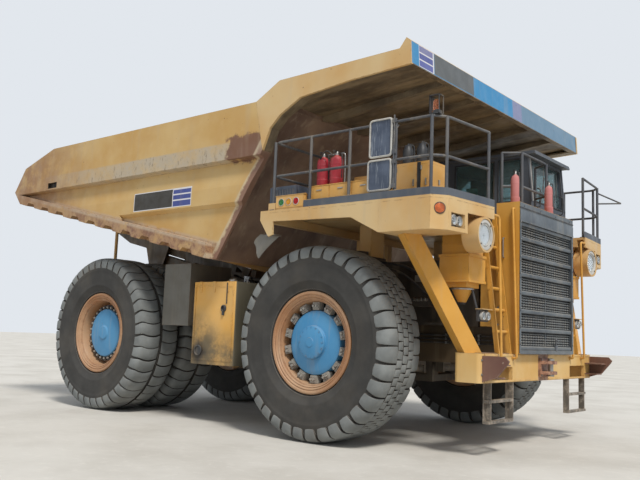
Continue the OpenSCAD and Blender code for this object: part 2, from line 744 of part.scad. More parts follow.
module mirrors() color(dark_grey) at_axle() {
    mast_r = 12;
    mast_y = post_y + post_r + mast_r + seat_gap;
    mast_x = mirror_post_x - 6;
    arm_r = 15;
    arm_tip = [bumper_x + 260, half_w - 40, 4350];
    // Two stacked mirrors on the right rail, and the bare arms on the left one
    for (z = [[deck_z + 145, 4130], [4150, 4720]]) {
        block([mirror_post_x - 430, -half_w, z[0]], [mast_x, -mast_y + mast_r, z[1]]);
    }
    bar([mast_x, -mast_y, deck_z + 141], [mast_x, -mast_y, 4740], mast_r);
    for (z = [4350, 4550]) {
        root = [arm_post[0], arm_post[1], z];
        reach = arm_tip - root;
        bar(root + reach * (post_r + 12) / norm(reach), arm_tip, arm_r);
    }
}

module tanks() color(yellow) at_axle() {
    both_sides() {
        rounded_block([tank_x, 1500, tank_z], [tank_x + tank_len, tank_y, tank_z + tank_h], 45);
        block([1700, 1500, 1700], [2440, tank_y, 2840]);
        for (z = [rail_z + 80, rail_z + 380]) {
            block([tank_x + 100, rail_y + rail_w / 2, z], [tank_x + tank_len - 100, 1500, z + 120]);
        }
        block([2440, 1600, 1750], [tank_x, tank_y - 100, 2400]);
    }
}

// Front suspension and steering

tower_top_z = 2960;

module front_suspension() color(mid_grey) at_axle() {
    strut_in_y = kingpin_y - front_strut_r + 20;
    both_sides() {
        translate([front_x, kingpin_y, front_strut_z])
            cylinder(h = front_strut_top_z - front_strut_z, r = front_strut_r, $fn = 64);
        cross_plate([
            [rail_y + rail_w / 2, rail_z + 60], [rail_y + rail_w / 2, rail_z + rail_h - 60],
            [700, rail_z + rail_h], [1000, tower_top_z], [strut_in_y, tower_top_z],
            [strut_in_y, tower_top_z - 460], [1000, front_strut_z]], front_x - 150, 300);
    }
    control_arms();
    steer_barrels();
}

arm_z = 860;
arm_t = 120;
knuckle_low_z = arm_z + arm_t + seat_gap;
steer_arm_z = 1010;
steer_arm_t = 80;
eye_t = 70;
arm_back = 380;
arm_front = 300;

module control_arms() translate([front_x, 0, 0]) {
    both_sides() {
        difference() {
            flat_plate([
                [-arm_back, rail_y - rail_w / 2], [arm_front, rail_y - rail_w / 2],
                [110, kingpin_y], [-110, kingpin_y]], arm_z, arm_t);
            flat_plate([[-arm_back + 160, rail_y + 100], [arm_front - 150, rail_y + 100], [0, kingpin_y - 350]],
                arm_z - 10, arm_t + 20);
        }
        translate([0, kingpin_y, arm_z]) cylinder(h = arm_t, r = 130, $fn = 48);
        for (x = [-arm_back, arm_front - 120]) {
            block([x, rail_y - rail_w / 2, arm_z + arm_t], [x + 120, rail_y + rail_w / 2, rail_z]);
        }
    }
}

module knuckle() {
    translate([front_x, kingpin_y, 0]) {
        translate([0, 0, knuckle_low_z])
            cylinder(h = front_strut_z - seat_gap - knuckle_low_z, r = 200, $fn = 64);
        translate([0, 0, hub_z]) rotate([-90, 0, 0]) cylinder(h = 940, r = spindle_r, $fn = 64);
        translate([0, 200, hub_z]) rotate([-90, 0, 0]) cylinder(h = 190, r = 430, $fn = 64);
        flat_plate([[-tie_arm, -55], [-tie_arm - 60, -25], [-tie_arm - 60, 25], [-tie_arm, 55],
            [ram_arm, 55], [ram_arm + 60, 25], [ram_arm + 60, -25], [ram_arm, -55]], steer_arm_z, steer_arm_t);
    }
}

module knuckle_l() color(mid_grey) at_axle() knuckle();
module knuckle_r() color(mid_grey) at_axle() mirror([0, 1, 0]) knuckle();

tie_z = steer_arm_z - seat_gap - eye_t / 2;

module tie_rod() color(steel) at_axle() translate([front_x - tie_arm, 0, tie_z]) {
    cross_cylinder(0, -kingpin_y + 50, 0, 2 * kingpin_y - 100, 32, 24);
    both_sides() translate([0, kingpin_y, -eye_t / 2]) cylinder(h = eye_t, r = 60, $fn = 32);
}

ram_z = steer_arm_z + steer_arm_t + seat_gap + eye_t / 2;
ram_in_y = 350;
ram_barrel_len = 680;
ram_barrel_r = 65;
ram_rod_r = 30;
ram_rod_x = 325;

module steer_barrels() translate([front_x + ram_arm, 0, ram_z]) {
    both_sides() {
        difference() {
            cross_cylinder(0, ram_in_y, 0, ram_barrel_len, ram_barrel_r);
            cross_cylinder(0, ram_in_y + 40, 0, ram_barrel_len, ram_rod_r + run_gap);
        }
        block([-80, ram_in_y - 60, -80], [80, ram_in_y, rail_z - ram_z]);
        block([-80, ram_in_y, ram_barrel_r - 10], [80, ram_in_y + 200, rail_z - ram_z]);
    }
}

module steer_rod() {
    translate([front_x + ram_arm, 0, ram_z]) {
        cross_cylinder(0, ram_in_y + ram_rod_x, 0, kingpin_y - 50 - ram_in_y - ram_rod_x, ram_rod_r);
        translate([0, kingpin_y, -eye_t / 2]) cylinder(h = eye_t, r = 60, $fn = 32);
    }
}

module steer_rod_l() color(steel) at_axle() steer_rod();
module steer_rod_r() color(steel) at_axle() mirror([0, 1, 0]) steer_rod();

// Wheels

tread_depth = 70;
// Inner end of a tread lug from the tyre's centre plane
tread_in_y = 70;

// Lugs along one shoulder of the tread, on a ring bored out inside the tread's wall
module tread_ring(count, turn) {
    pitch = 360 / count;
    root = tyre_r - tread_depth - 40;
    out_y = tyre_w / 2 - 28;
    // Corners of a lug: [share of the pitch, radius]
    corners = [[0, root], [0.06, tyre_r], [0.74, tyre_r], [0.80, root]];
    translate([0, out_y, 0]) rotate([90, 0, 0]) linear_extrude(height = out_y - tread_in_y) difference() {
        polygon([
            for (i = [0:count - 1], c = corners) let (a = turn + (i + c[0]) * pitch) [c[1] * cos(a), c[1] * sin(a)]]);
        circle(r = root - 15, $fn = 96);
    }
}

// Tyre as a ring that is open towards the rim, with a ring of lugs at each shoulder
module tyre(lugs) {
    half = tyre_w / 2;
    flange_y = rim_w / 2;
    // Half of the section, from the bead out over the sidewall to the tread: [radius, place across the width]
    outer = [[bead_r, flange_y], [flange_r, flange_y], [flange_r + 50, flange_y + 60], [950, half - 12],
        [1080, half], [1200, half - 3], [1290, half - 15], [tyre_r - tread_depth, half - 45], [tyre_r - tread_depth + 5, half - 60]];
    inner = [[1370, half - 140], [1250, half - 80], [1080, half - 70], [900, half - 105], [760, flange_y - 70],
        [bead_r, flange_y - 90]];
    wheel_turn(concat(outer, reverse(other_side(outer)), other_side(reverse(inner)), inner));
    tread_ring(lugs, 0);
    mirror([0, 1, 0]) tread_ring(lugs, 0.4 * 360 / lugs);
}

// Rim barrel with a flange at each side, and the disc that joins it to the hub
module rim(disc_y, disc_r) {
    flange_y = rim_w / 2;
    wheel_turn([
        [bead_r, -flange_y], [flange_r, -flange_y], [flange_r, -flange_y - 55], [600, -flange_y - 55],
        [600, disc_y - 25], [disc_r, disc_y - 25], [disc_r, disc_y + 25], [600, disc_y + 25],
        [600, flange_y + 55], [flange_r, flange_y + 55], [flange_r, flange_y], [bead_r, flange_y]]);
}

module front_rim() {
    translate([front_x, front_tyre_y, hub_z]) {
        rim(150, spindle_r + run_gap);
        difference() {
            wheel_turn([
                [spindle_r + run_gap, -180], [330, -180], [420, 175], [560, 175], [560, 320], [290, 330],
                [270, 390], [200, 400], [0, 400], [0, 205], [spindle_r + run_gap, 205]]);
        }
    }
}

module front_rim_l() color(rim_tan) at_axle() front_rim();
module front_rim_r() color(rim_tan) at_axle() mirror([0, 1, 0]) front_rim();
module front_tyre_l() color(tyre_grey) at_axle() translate([front_x, front_tyre_y, hub_z]) tyre(front_lugs);
module front_tyre_r() color(tyre_grey) at_axle() mirror([0, 1, 0])
    translate([front_x, front_tyre_y, hub_z]) tyre(front_lugs);

module rear_rims() {
    inner = axle_tube_r + run_gap;
    for (y = [rear_tyre_y, rear_tyre_y - twin_gap]) translate([0, y, hub_z]) rim(60, 400);
    translate([0, rear_tyre_y, hub_z]) wheel_turn([
        [inner, -1400], [420, -1400], [420, 230], [390, 260], [150, 270], [130, 330], [0, 330], [0, 0], [inner, 0]]);
}

module rear_rims_l() color(rim_tan) at_axle() rear_rims();
module rear_rims_r() color(rim_tan) at_axle() mirror([0, 1, 0]) rear_rims();

module rear_tyres() {
    for (y = [rear_tyre_y, rear_tyre_y - twin_gap]) translate([0, y, hub_z]) tyre(rear_lugs);
}

module rear_tyres_l() color(tyre_grey) at_axle() rear_tyres();
module rear_tyres_r() color(tyre_grey) at_axle() mirror([0, 1, 0]) rear_tyres();

module rear_axle() color(yellow) at_axle() {
    cross_cylinder(0, -600, hub_z, 1200, casing_r);
    cross_cylinder(0, -rear_tyre_y + 50, hub_z, 2 * rear_tyre_y - 100, axle_tube_r);
    bar([300, 0, hub_z + 60], [axle_nose_x, 0, hub_z + 60], 200, 32);
    both_sides() {
        // Leg of the frame that locates the axle, and its bracket between the rails
        bar([350, 330, hub_z - 150], [2150, 220, rail_z + 90], 85, 16);
        block([2080, 120, rail_z + 10], [2250, rail_y - rail_w / 2, rail_z + 400]);
        // Suspension cylinder and its brackets on the axle and the rail
        bar([-385, 665, hub_z + 250], [-560, 665, 2880], 90, 32);
        block([-520, 600, hub_z - 200], [-250, 755, hub_z + 300]);
        block([-660, rail_y + rail_w / 2, 2740], [-460, 755, 2960]);
    }
}

// Hoist cylinders, drawn upright from the lower pin and then leaned to the upper one

hoist_len = norm([hoist_top_x - hoist_low_x, hoist_top_z - hoist_low_z]);
hoist_lean = atan2(hoist_top_x - hoist_low_x, hoist_top_z - hoist_low_z);
hoist_eye_r = 95;
barrel_top = hoist_len - 290;
tube_out_r = barrel_r - 25;
rod_out_r = tube_out_r - 25;

module on_hoist() {
    at_axle() translate([hoist_low_x, hoist_y, hoist_low_z]) rotate([0, hoist_lean, 0]) children();
}

// Eye at a height, with a neck of the same thickness towards the cylinder
module hoist_eye(z, neck_low, neck_high) {
    translate([0, hoist_eye_t / 2, z]) rotate([90, 0, 0]) cylinder(h = hoist_eye_t, r = hoist_eye_r, $fn = 48);
    block([-70, -hoist_eye_t / 2, neck_low], [70, hoist_eye_t / 2, neck_high]);
}

module hoist_barrel() {
    difference() {
        union() {
            translate([0, 0, 130]) cylinder(h = barrel_top - 130, r = barrel_r, $fn = 64);
            hoist_eye(0, 0, 140);
        }
        translate([0, 0, 160]) cylinder(h = barrel_top, r = tube_out_r + run_gap, $fn = 64);
        cross_cylinder(0, -200, 0, 400, hoist_pin_r + run_gap);
    }
}

module hoist_tube() {
    difference() {
        translate([0, 0, 170]) cylinder(h = barrel_top - 140, r = tube_out_r, $fn = 64);
        translate([0, 0, 200]) cylinder(h = barrel_top, r = rod_out_r + run_gap, $fn = 64);
    }
}

module hoist_rod() {
    translate([0, 0, 210]) cylinder(h = hoist_len - 410, r = rod_out_r, $fn = 64);
    hoist_eye(hoist_len, hoist_len - 210, hoist_len);
}

module hoist_barrel_l() color(yellow) on_hoist() hoist_barrel();
module hoist_barrel_r() color(yellow) mirror([0, 1, 0]) on_hoist() hoist_barrel();
module hoist_tube_l() color(steel) on_hoist() hoist_tube();
module hoist_tube_r() color(steel) mirror([0, 1, 0]) on_hoist() hoist_tube();
module hoist_rod_l() color(steel) on_hoist() hoist_rod();
module hoist_rod_r() color(steel) mirror([0, 1, 0]) on_hoist() hoist_rod();

// Dump body

// Places its children in the sloping frame of the floor: X forward along it, the origin at the front corner
module on_floor() {
    at_axle() translate([body_front_x, 0, body_front_z]) rotate([0, floor_slope, 0]) children();
}

tail_edge = [[-2740, 4270], [-2905, 4610]];
tail_tip = [-tail_reach, 4570];
tail_low = [-2850, 4290];
floor_len = (body_front_x - tail_low[0]) / cos(floor_slope);
rib_count = 10;
rib_t = 150;
rib_pitch = (floor_len - 400) / rib_count;
board_low_x = body_front_x - 70;
board_high = [4340, 4600];
roof_rear = [4980, 5320];

module body_floor() color(yellow) {
    w = side_in_y - seat_gap;
    difference() {
        on_floor() cross_plate([
            [-w, rib_h], [0, rib_h - floor_vee], [w, rib_h], [w, rib_h + floor_t],
            [0, rib_h - floor_vee + floor_t], [-w, rib_h + floor_t]], -floor_len - 200, floor_len + 400);
        // Everything ahead of the headboard's inner face
        at_axle() side_plate([[board_low_x, body_front_z], board_high, [5000, 4600], [5000, 2000], [board_low_x, 2000]],
            -half_w, body_w);
        // Everything behind the front edge of the tail bar
        at_axle() side_plate([
            tail_edge[0] - (tail_edge[1] - tail_edge[0]), tail_edge[1] + (tail_edge[1] - tail_edge[0]), [-3600, 4950],
            [-3600, 3930]], -half_w, body_w);
    }
}

// Cross ribs under the floor, the tail bar, and the bars that keep rocks out from between the twin tyres
module body_ribs() color(yellow) {
    w = side_in_y - seat_gap;
    top = rib_h - seat_gap;
    rib_flat_y = 600;
    on_floor() for (i = [0:rib_count]) {
        cross_plate([
            [-w, 0], [-rib_flat_y, -floor_vee], [rib_flat_y, -floor_vee], [w, 0], [w, top], [0, top - floor_vee],
            [-w, top]], -300 - i * rib_pitch, rib_t);
    }
    at_axle() {
        side_plate([tail_low, tail_tip, [tail_tip[0] + 20, 4610], tail_edge[1], tail_edge[0]], -w, 2 * w);
        // The rock bars hang just under the middle of a rib
        rock_r = 35;
        rock_x = body_front_x - (300 - rib_t / 2 + 7 * rib_pitch) * cos(floor_slope) - 20;
        rock_y = rear_tyre_y - twin_gap / 2;
        rock_top_z = under_z(rock_x + rock_r) - seat_gap
            - floor_vee * (side_in_y - rock_y + rock_r) / (side_in_y - rib_flat_y) / cos(floor_slope);
        both_sides() bar([rock_x, rock_y, 2350], [rock_x, rock_y, rock_top_z], rock_r, 12);
    }
}

// Two long beams under the ribs, with the pads that rest on the rails, the pivot lugs and the hoist ears
module body_beams() color(yellow) {
    top = -floor_vee - seat_gap;
    side_y = rail_y + 90;
    lug_rise = 215;
    ear_t = 40;
    ear_reach = 900;
    ear_in_y = hoist_y - hoist_eye_t / 2 - 10 - ear_t;
    ear_out_y = hoist_y + hoist_eye_t / 2 + 10;
    on_floor() both_sides() {
        side_plate([
            [-floor_len + 120, top], [-floor_len + 120, -floor_vee - 80], [-floor_len + 800, -beam_h],
            [-100, -beam_h], [-100, top]], rail_y - 90, 180);
        for (x = [-900, -2200, -3500]) block([x, rail_y - 80, -beam_h - pad_t], [x + 300, rail_y + 80, -beam_h + 10]);
        block([-5000, rail_y, 100 - beam_h], [-4150, lug_out_y - 10, top]);
        for (x = [-1560, -980]) block([x, rail_y, top - 140], [x + 130, ear_out_y + ear_t - 5, top - 5]);
    }
    intersection() {
        at_axle() both_sides() {
            difference() {
                side_plate([
                    [pivot_x - 450, beam_z(pivot_x - 450) + lug_rise], [pivot_x - 180, pivot_z - 60],
                    [pivot_x - 90, pivot_z - 180], [pivot_x + 90, pivot_z - 180], [pivot_x + 180, pivot_z - 60],
                    [pivot_x + 450, beam_z(pivot_x + 450) + lug_rise]], lug_in_y, lug_out_y - lug_in_y);
                cross_cylinder(pivot_x, rail_y, pivot_z, 500, pivot_r + run_gap);
            }
            // Ears for the hoist rods
            for (y = [ear_in_y, ear_out_y]) {
                side_plate([
                    [hoist_top_x - 130, hoist_top_z], [hoist_top_x - 60, hoist_top_z - 110],
                    [hoist_top_x + 60, hoist_top_z - 110], [hoist_top_x + 130, hoist_top_z],
                    [hoist_top_x + ear_reach, under_z(hoist_top_x + ear_reach)],
                    [hoist_top_x - ear_reach, under_z(hoist_top_x - ear_reach)]], y, ear_t);
            }
        }
        on_floor() block([-floor_len, -2000, -1500], [0, 2000, top]);
    }
}

// Side of the body seen from the side, with the tail's taper, the top rail and the canopy's upstand
module side_outline() {
    polygon([
        tail_tip, [-2720, 5080], [-1610, rail_top_z], [4500, rail_top_z], [4690, 4560],
        [3560, body_front_z], [body_front_x, body_front_z], [tail_low[0], tail_low[1]]]);
}

// Outer faces of the belt along the side and of the recessed panel under it
belt_y = half_w - 90;
panel_y = half_w - 160;
// The panel is recessed only ahead of this station
recess_x = 850;

// Section of the side: [distance from the middle, height]
module side_section() {
    polygon([
        [side_in_y, 2700], [side_in_y, 5500], [half_w, 5500], [half_w, 4500], [half_w - 130, 4470],
        [belt_y, 4060], [belt_y, 3780], [panel_y, 3720], [panel_y, 2700]]);
}

module body_side() difference() {
    side_plates();
    // Gaps between the rib ends in the sill, and the slot near the tail
    on_floor() for (i = [0:rib_count - 1]) {
        x = rib_t / 2 - 300 - (i + 0.5) * rib_pitch;
        side_plate([[x - 170, -5], [x + 170, -5], [x + 110, 75], [x - 110, 75]], panel_y + 5, 200);
    }
    at_axle() side_plate([[-1740, 4530], [-1390, 4530], [-1390, 4650], [-1740, 4650]], half_w - 70, 100);
}

module side_plates() {
    at_axle() {
        intersection() {
            side_plate([
                [-3300, 3000], [recess_x, 3000], [recess_x, 3720], [recess_x - 50, 3790], [-3300, 3790]],
                panel_y - 5, belt_y - panel_y + 5);
            side_plate([
                [body_front_x, body_front_z], [tail_low[0], tail_low[1]], [-3080, 4540], [-3080, 6000],
                [body_front_x, 6000]], panel_y - 10, 300);
        }
        intersection() {
            translate([-3300, 0, 0]) rotate([90, 0, 90]) linear_extrude(height = 8200) side_section();
            translate([0, half_w + 200, 0]) rotate([90, 0, 0]) linear_extrude(height = 600) side_outline();
        }
        // Sill along the floor's edge
        intersection() {
            side_plate([
                [body_front_x, body_front_z], [tail_low[0], tail_low[1]], [-3080, 4540], [body_front_x - 20, 3110]],
                panel_y - 5, half_w - panel_y + 5);
            side_plate([[-3200, 2000], [3560, 2000], [3560, 6000], [-3200, 6000]], panel_y - 10, 300);
        }
    }
}

module body_side_l() color(yellow) body_side();
module body_side_r() color(yellow) mirror([0, 1, 0]) body_side();

module headboard() color(rust_brown) at_axle() {
    side_plate([
        [board_low_x, body_front_z], [body_front_x, body_front_z], [board_high[0] + 70, board_high[1]],
        [roof_rear[0] + 80, 5240], [roof_rear[0] + 80, roof_rear[1]], roof_rear, board_high],
        -side_in_y, 2 * side_in_y);
}

// Lower edge of the canopy's side, from the body's corner forward to the front band
canopy_edge = [[4690, 4560], [4840, 4910], [5050, 5100], [5460, 5310], [6440, 5400], [canopy_x - 20, 5440]];

// Underside of the roof plate
function roof_z(x) = roof_rear[1] + (x - roof_rear[0] - 80) * 0.085;

module canopy() color(yellow) at_axle() {
    roof_x0 = roof_rear[0] + 80;
    // Roof plate with the upstand over its front edge
    side_plate([
        roof_rear, [roof_x0, roof_z(roof_x0)], [canopy_x - 100, roof_z(canopy_x - 100)], [canopy_x - 100, 5440],
        [canopy_x, 5440], [canopy_x - 20, 5780], [canopy_x - 90, 5840], [canopy_x - 200, 5700],
        [canopy_x - 200, roof_z(canopy_x - 200) + canopy_t], [roof_x0, roof_z(roof_x0) + canopy_t],
        [roof_rear[0], roof_rear[1] + canopy_t]], -half_w + 60, body_w - 120);
    both_sides() {
        // Side flange, and the return along its lower edge
        side_plate(concat(
            [[4500, rail_top_z], [5010, 5670], [canopy_x - 200, 5700], [canopy_x - 90, 5840], [canopy_x - 20, 5780],
                [canopy_x, 5440]],
            [for (i = [len(canopy_edge) - 1:-1:0]) canopy_edge[i]]), half_w - 60, 60);
        side_plate(concat(canopy_edge, [for (i = [len(canopy_edge) - 1:-1:0]) canopy_edge[i] + [0, 30]]),
            side_in_y + 0.3, half_w - 60 - side_in_y);
    }
    // Ribs under the roof
    for (y = [-2000, -1000, 0, 1000, 2000]) {
        side_plate([
            [roof_x0, roof_z(roof_x0)], [canopy_x - 120, roof_z(canopy_x - 120)], [canopy_x - 120, 5440], [5300, 5200],
            [roof_x0 + 2, 5240]], y - 40, 80);
    }
}

frame_rails();
bumper();
bumper_steps();
engine();
driveline();
radiator_guard();
grille();
decks();
deck_sides();
kick_plates();
handrails();
deck_struts();
ladders();
hand_bars();
air_cleaners();
headlamps();
lamp_glass();
cab_shell();
cab_glass();
cab_inside();
cab_door();
door_glass();
deck_boxes();
extinguishers();
mirrors();
tanks();
front_suspension();
steer_rod_l();
steer_rod_r();
tie_rod();
knuckle_l();
knuckle_r();
front_rim_l();
front_rim_r();
front_tyre_l();
front_tyre_r();
rear_axle();
rear_rims_l();
rear_rims_r();
rear_tyres_l();
rear_tyres_r();
hoist_barrel_l();
hoist_barrel_r();
hoist_tube_l();
hoist_tube_r();
hoist_rod_l();
hoist_rod_r();
body_floor();
body_ribs();
body_beams();
body_side_l();
body_side_r();
headboard();
canopy();
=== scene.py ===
import bmesh
import bpy
import math
import random

from itertools import product
from mathutils import Matrix, Vector


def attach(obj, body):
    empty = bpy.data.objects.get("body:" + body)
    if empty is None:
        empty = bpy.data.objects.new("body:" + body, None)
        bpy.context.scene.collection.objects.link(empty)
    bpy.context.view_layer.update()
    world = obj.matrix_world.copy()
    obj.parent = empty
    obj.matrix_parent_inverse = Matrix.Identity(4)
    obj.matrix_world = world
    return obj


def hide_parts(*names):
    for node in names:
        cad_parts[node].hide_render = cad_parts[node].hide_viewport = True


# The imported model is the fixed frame. X is forward, Y to the truck's left, Z up, in metres.
# From here on X is counted from the rear axle, and Mesh and Material move it to the frame's own.
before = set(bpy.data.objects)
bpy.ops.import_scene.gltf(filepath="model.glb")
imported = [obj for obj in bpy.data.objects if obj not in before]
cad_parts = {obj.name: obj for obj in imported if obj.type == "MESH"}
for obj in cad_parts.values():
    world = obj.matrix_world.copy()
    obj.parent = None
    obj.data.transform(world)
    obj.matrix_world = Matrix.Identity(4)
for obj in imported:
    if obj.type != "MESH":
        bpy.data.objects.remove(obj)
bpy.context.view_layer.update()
REAR_X = -2.705
WHEELBASE = 5.576
HUB_Z = 1.505
FRONT_WHEEL_Y = 2.365
REAR_WHEEL_Y = (2.345, 1.275)
FORE, OUT, IN, UP = (1, 0, 0), (0, 1, 0), (0, -1, 0), (0, 0, 1)
SIDES = (("l", "left", 1), ("r", "right", -1))


# Camera of the photograph

scene = bpy.context.scene
CAMERA_AT = Vector((10.409, -11.648, 1.626))
YAW, PITCH, ROLL = (math.radians(a) for a in (129.81, 7.147, 2.171))
look = Vector((math.cos(YAW) * math.cos(PITCH), math.sin(YAW) * math.cos(PITCH), math.sin(PITCH)))
right = Vector((math.sin(YAW), -math.cos(YAW), 0))
up = right.cross(look)
cam_x = right * math.cos(ROLL) + up * math.sin(ROLL)
cam_y = up * math.cos(ROLL) - right * math.sin(ROLL)
cam_data = bpy.data.cameras.new("camera")
cam_data.sensor_width = 36
cam_data.lens = 42.45
cam_data.clip_end = 400
camera = bpy.data.objects.new("camera", cam_data)
camera.matrix_world = Matrix.Translation(CAMERA_AT) @ Matrix((cam_x, cam_y, -look)).transposed().to_4x4()
scene.collection.objects.link(camera)
scene.camera = camera
scene.view_settings.view_transform = "Standard"


# Shader nodes. Colours are written in hex, as seen on a screen.

def linear(tone):
    """Hex colour to the linear values that a shader takes."""
    parts = (int(tone[i:i + 2], 16) for i in (0, 2, 4))
    return (*(c / 255 / 12.92 if c <= 10 else ((c / 255 + 0.055) / 1.055) ** 2.4 for c in parts), 1.0)


def shade(tone, factor):
    """Hex colour made lighter or darker, in linear values."""
    return (*(min(1, c * factor) for c in linear(tone)[:3]), 1.0)


class Material:
    """Wires a Principled material step by step, its colour in coats one over the other."""

    def __init__(self, name, tone, rough=0.6, metal=0.0):
        self.mat = bpy.data.materials.new(name)
        self.mat.use_nodes = True
        self.tree = self.mat.node_tree
        self.bsdf = self.tree.nodes["Principled BSDF"]
        self.set("Roughness", rough)
        self.set("Metallic", metal)
        self.place = self.new("ShaderNodeTexCoord").outputs["Object"]
        self.tone = tone

    def new(self, kind, **settings):
        node = self.tree.nodes.new(kind)
        for key, value in settings.items():
            setattr(node, key, value)
        return node

    def feed(self, socket, value):
        """Links a socket to an input, or writes a number or colour into it."""
        if isinstance(value, bpy.types.NodeSocket):
            self.tree.links.new(value, socket)
        else:
            socket.default_value = linear(value) if isinstance(value, str) else value

    def set(self, name, value):
        self.feed(self.bsdf.inputs[name], value)

    def math(self, operation, a, b=0.0, clamp=False):
        node = self.new("ShaderNodeMath", operation=operation, use_clamp=clamp)
        self.feed(node.inputs[0], a)
        self.feed(node.inputs[1], b)
        return node.outputs[0]

    def sum(self, a, b, clamp=False):
        return self.math("ADD", a, b, clamp)

    def past(self, a, b):
        """How far a is past b."""
        return self.math("SUBTRACT", a, b)

    def both(self, *masks):
        """Product of masks and numbers."""
        out = masks[0]
        for mask in masks[1:]:
            out = self.math("MULTIPLY", out, mask)
        return out

    def axes(self):
        """X from the rear axle, Y and Z."""
        split = self.new("ShaderNodeSeparateXYZ")
        self.feed(split.inputs[0], self.place)
        x, y, z = split.outputs
        return self.past(x, REAR_X), y, z

    def scaled(self, scale):
        node = self.new("ShaderNodeMapping")
        self.feed(node.inputs["Vector"], self.place)
        node.inputs["Scale"].default_value = scale
        return node.outputs[0]

    def noise(self, scale, detail=4.0, rough=0.55, where=None, distort=0.0):
        node = self.new("ShaderNodeTexNoise")
        self.feed(node.inputs["Vector"], where or self.place)
        for key, value in (("Scale", scale), ("Detail", detail), ("Roughness", rough),
                           ("Distortion", distort)):
            node.inputs[key].default_value = value
        return node.outputs["Fac"]

    def ramp(self, value, low, high, bottom=0.0, top=1.0):
        """Smooth step from bottom at low to top at high."""
        node = self.new("ShaderNodeMapRange", interpolation_type="SMOOTHSTEP")
        self.feed(node.inputs["Value"], value)
        for key, x in zip(("From Min", "From Max", "To Min", "To Max"), (low, high, bottom, top)):
            node.inputs[key].default_value = x
        return node.outputs[0]

    def cloud(self, noise, *ramp):
        """Patches of noise, given as the arguments of noise and those of ramp."""
        return self.ramp(self.noise(*noise), *ramp)

    def band(self, value, low, high, soft=0.02):
        """1 between low and high, 0 outside."""
        return self.both(self.ramp(value, low - soft, low + soft), self.ramp(value, high + soft, high - soft))

    def mix(self, amount, a, b):
        node = self.new("ShaderNodeMix", data_type="RGBA")
        for n, value in ((0, amount), (6, a), (7, b)):
            self.feed(node.inputs[n], value)
        return node.outputs[2]

    def coat(self, tone, *masks):
        """Lays a tone over the colour so far, where all the masks hold."""
        self.tone = self.mix(self.both(*masks), self.tone, tone)

    def edges(self, radius):
        """1 near convex and concave edges, 0 on flat faces."""
        bevel = self.new("ShaderNodeBevel", samples=3)
        bevel.inputs["Radius"].default_value = radius
        dot = self.new("ShaderNodeVectorMath", operation="DOT_PRODUCT")
        self.feed(dot.inputs[0], bevel.outputs[0])
        self.feed(dot.inputs[1], self.new("ShaderNodeNewGeometry").outputs["Normal"])
        return self.ramp(dot.outputs["Value"], 0.995, 0.9)

    def facing_up(self, low=0.2, high=0.9):
        split = self.new("ShaderNodeSeparateXYZ")
        self.feed(split.inputs[0], self.new("ShaderNodeNewGeometry").outputs["Normal"])
        return self.ramp(split.outputs[2], low, high)

    def bump(self, height, strength, distance):
        node = self.new("ShaderNodeBump")
        node.inputs["Strength"].default_value = strength
        node.inputs["Distance"].default_value = distance
        self.feed(node.inputs["Height"], height)
        self.set("Normal", node.outputs[0])

    def done(self):
        self.set("Base Color", self.tone)
        return self.mat


DUST = "b0a088"
RUST = "603c28"


def painted(name, base, faded, worn=RUST, rough=0.5, dust=0.35, chips=0.6, streaks=0.25, zones=None):
    """Old paint: mottled, streaked down and chipped along its edges, with dust on top and near the ground."""
    m = Material(name, base)
    m.coat(faded, m.cloud((0.9, 3), 0.35, 0.7))
    m.coat(faded, m.cloud((7, 5), 0.5, 0.8, 0, 0.35))
    x, y, z = m.axes()
    if zones:
        zones(m, x, y, z)
    m.coat(DUST, m.cloud((1.0, 4, 0.55, m.scaled((7, 7, 0.5))), 0.52, 0.75, 0, streaks))
    m.coat(worn, m.cloud((16, 2), 0.74, 0.79, 0, 0.8))
    m.coat(worn, m.edges(0.02), m.cloud((9, 5, 0.7), 0.42, 0.62), chips)
    settled = m.sum(m.both(m.facing_up(), 0.8), m.ramp(z, 2.2, 0.3, 0, 0.5), clamp=True)
    m.coat(DUST, settled, m.cloud((2.5, 5), 0.25, 0.75, 0.3, 1), dust)
    m.set("Roughness", m.cloud((5, 4), 0.3, 0.7, rough - 0.08, rough + 0.2))
    m.bump(m.noise(40, 4), 0.12, 0.003)
    return m.done()


YELLOW = "c8a066"
YELLOW_PALE = "d0b484"
YELLOW_DEEP = "c89036"
BLUE = "3c86b6"
INK = "36332e"
PALE = "d6d4d6"
STRIPE = "3e4a8a"
# X and Z ranges of the blank plate and its stripes on the body's right side, ahead of the rear axle
PLATE_PARTS = [
    (1.245, 2.90, 3.81, 4.16, PALE), (1.26, 2.38, 3.825, 4.145, INK), (2.40, 2.885, 3.825, 3.925, STRIPE),
    (2.40, 2.885, 3.95, 4.03, STRIPE), (2.40, 2.885, 4.055, 4.13, STRIPE)]
# Y and Z ranges of the panels on the canopy's front edge
BAND_PARTS = [
    (-3.07, 2.99, 5.44, 5.80, BLUE), (-2.88, -2.47, 5.46, 5.79, PALE), (-2.87, -2.50, 5.47, 5.56, "5c64a0"),
    (-2.87, -2.50, 5.58, 5.665, "545c96"), (-2.87, -2.50, 5.685, 5.775, "787aa0"),
    (-2.46, -1.26, 5.465, 5.785, "5c6062"), (0.14, 0.50, 5.46, 5.79, "8288a8"),
    (0.50, 2.97, 5.46, 5.79, "68869e")]


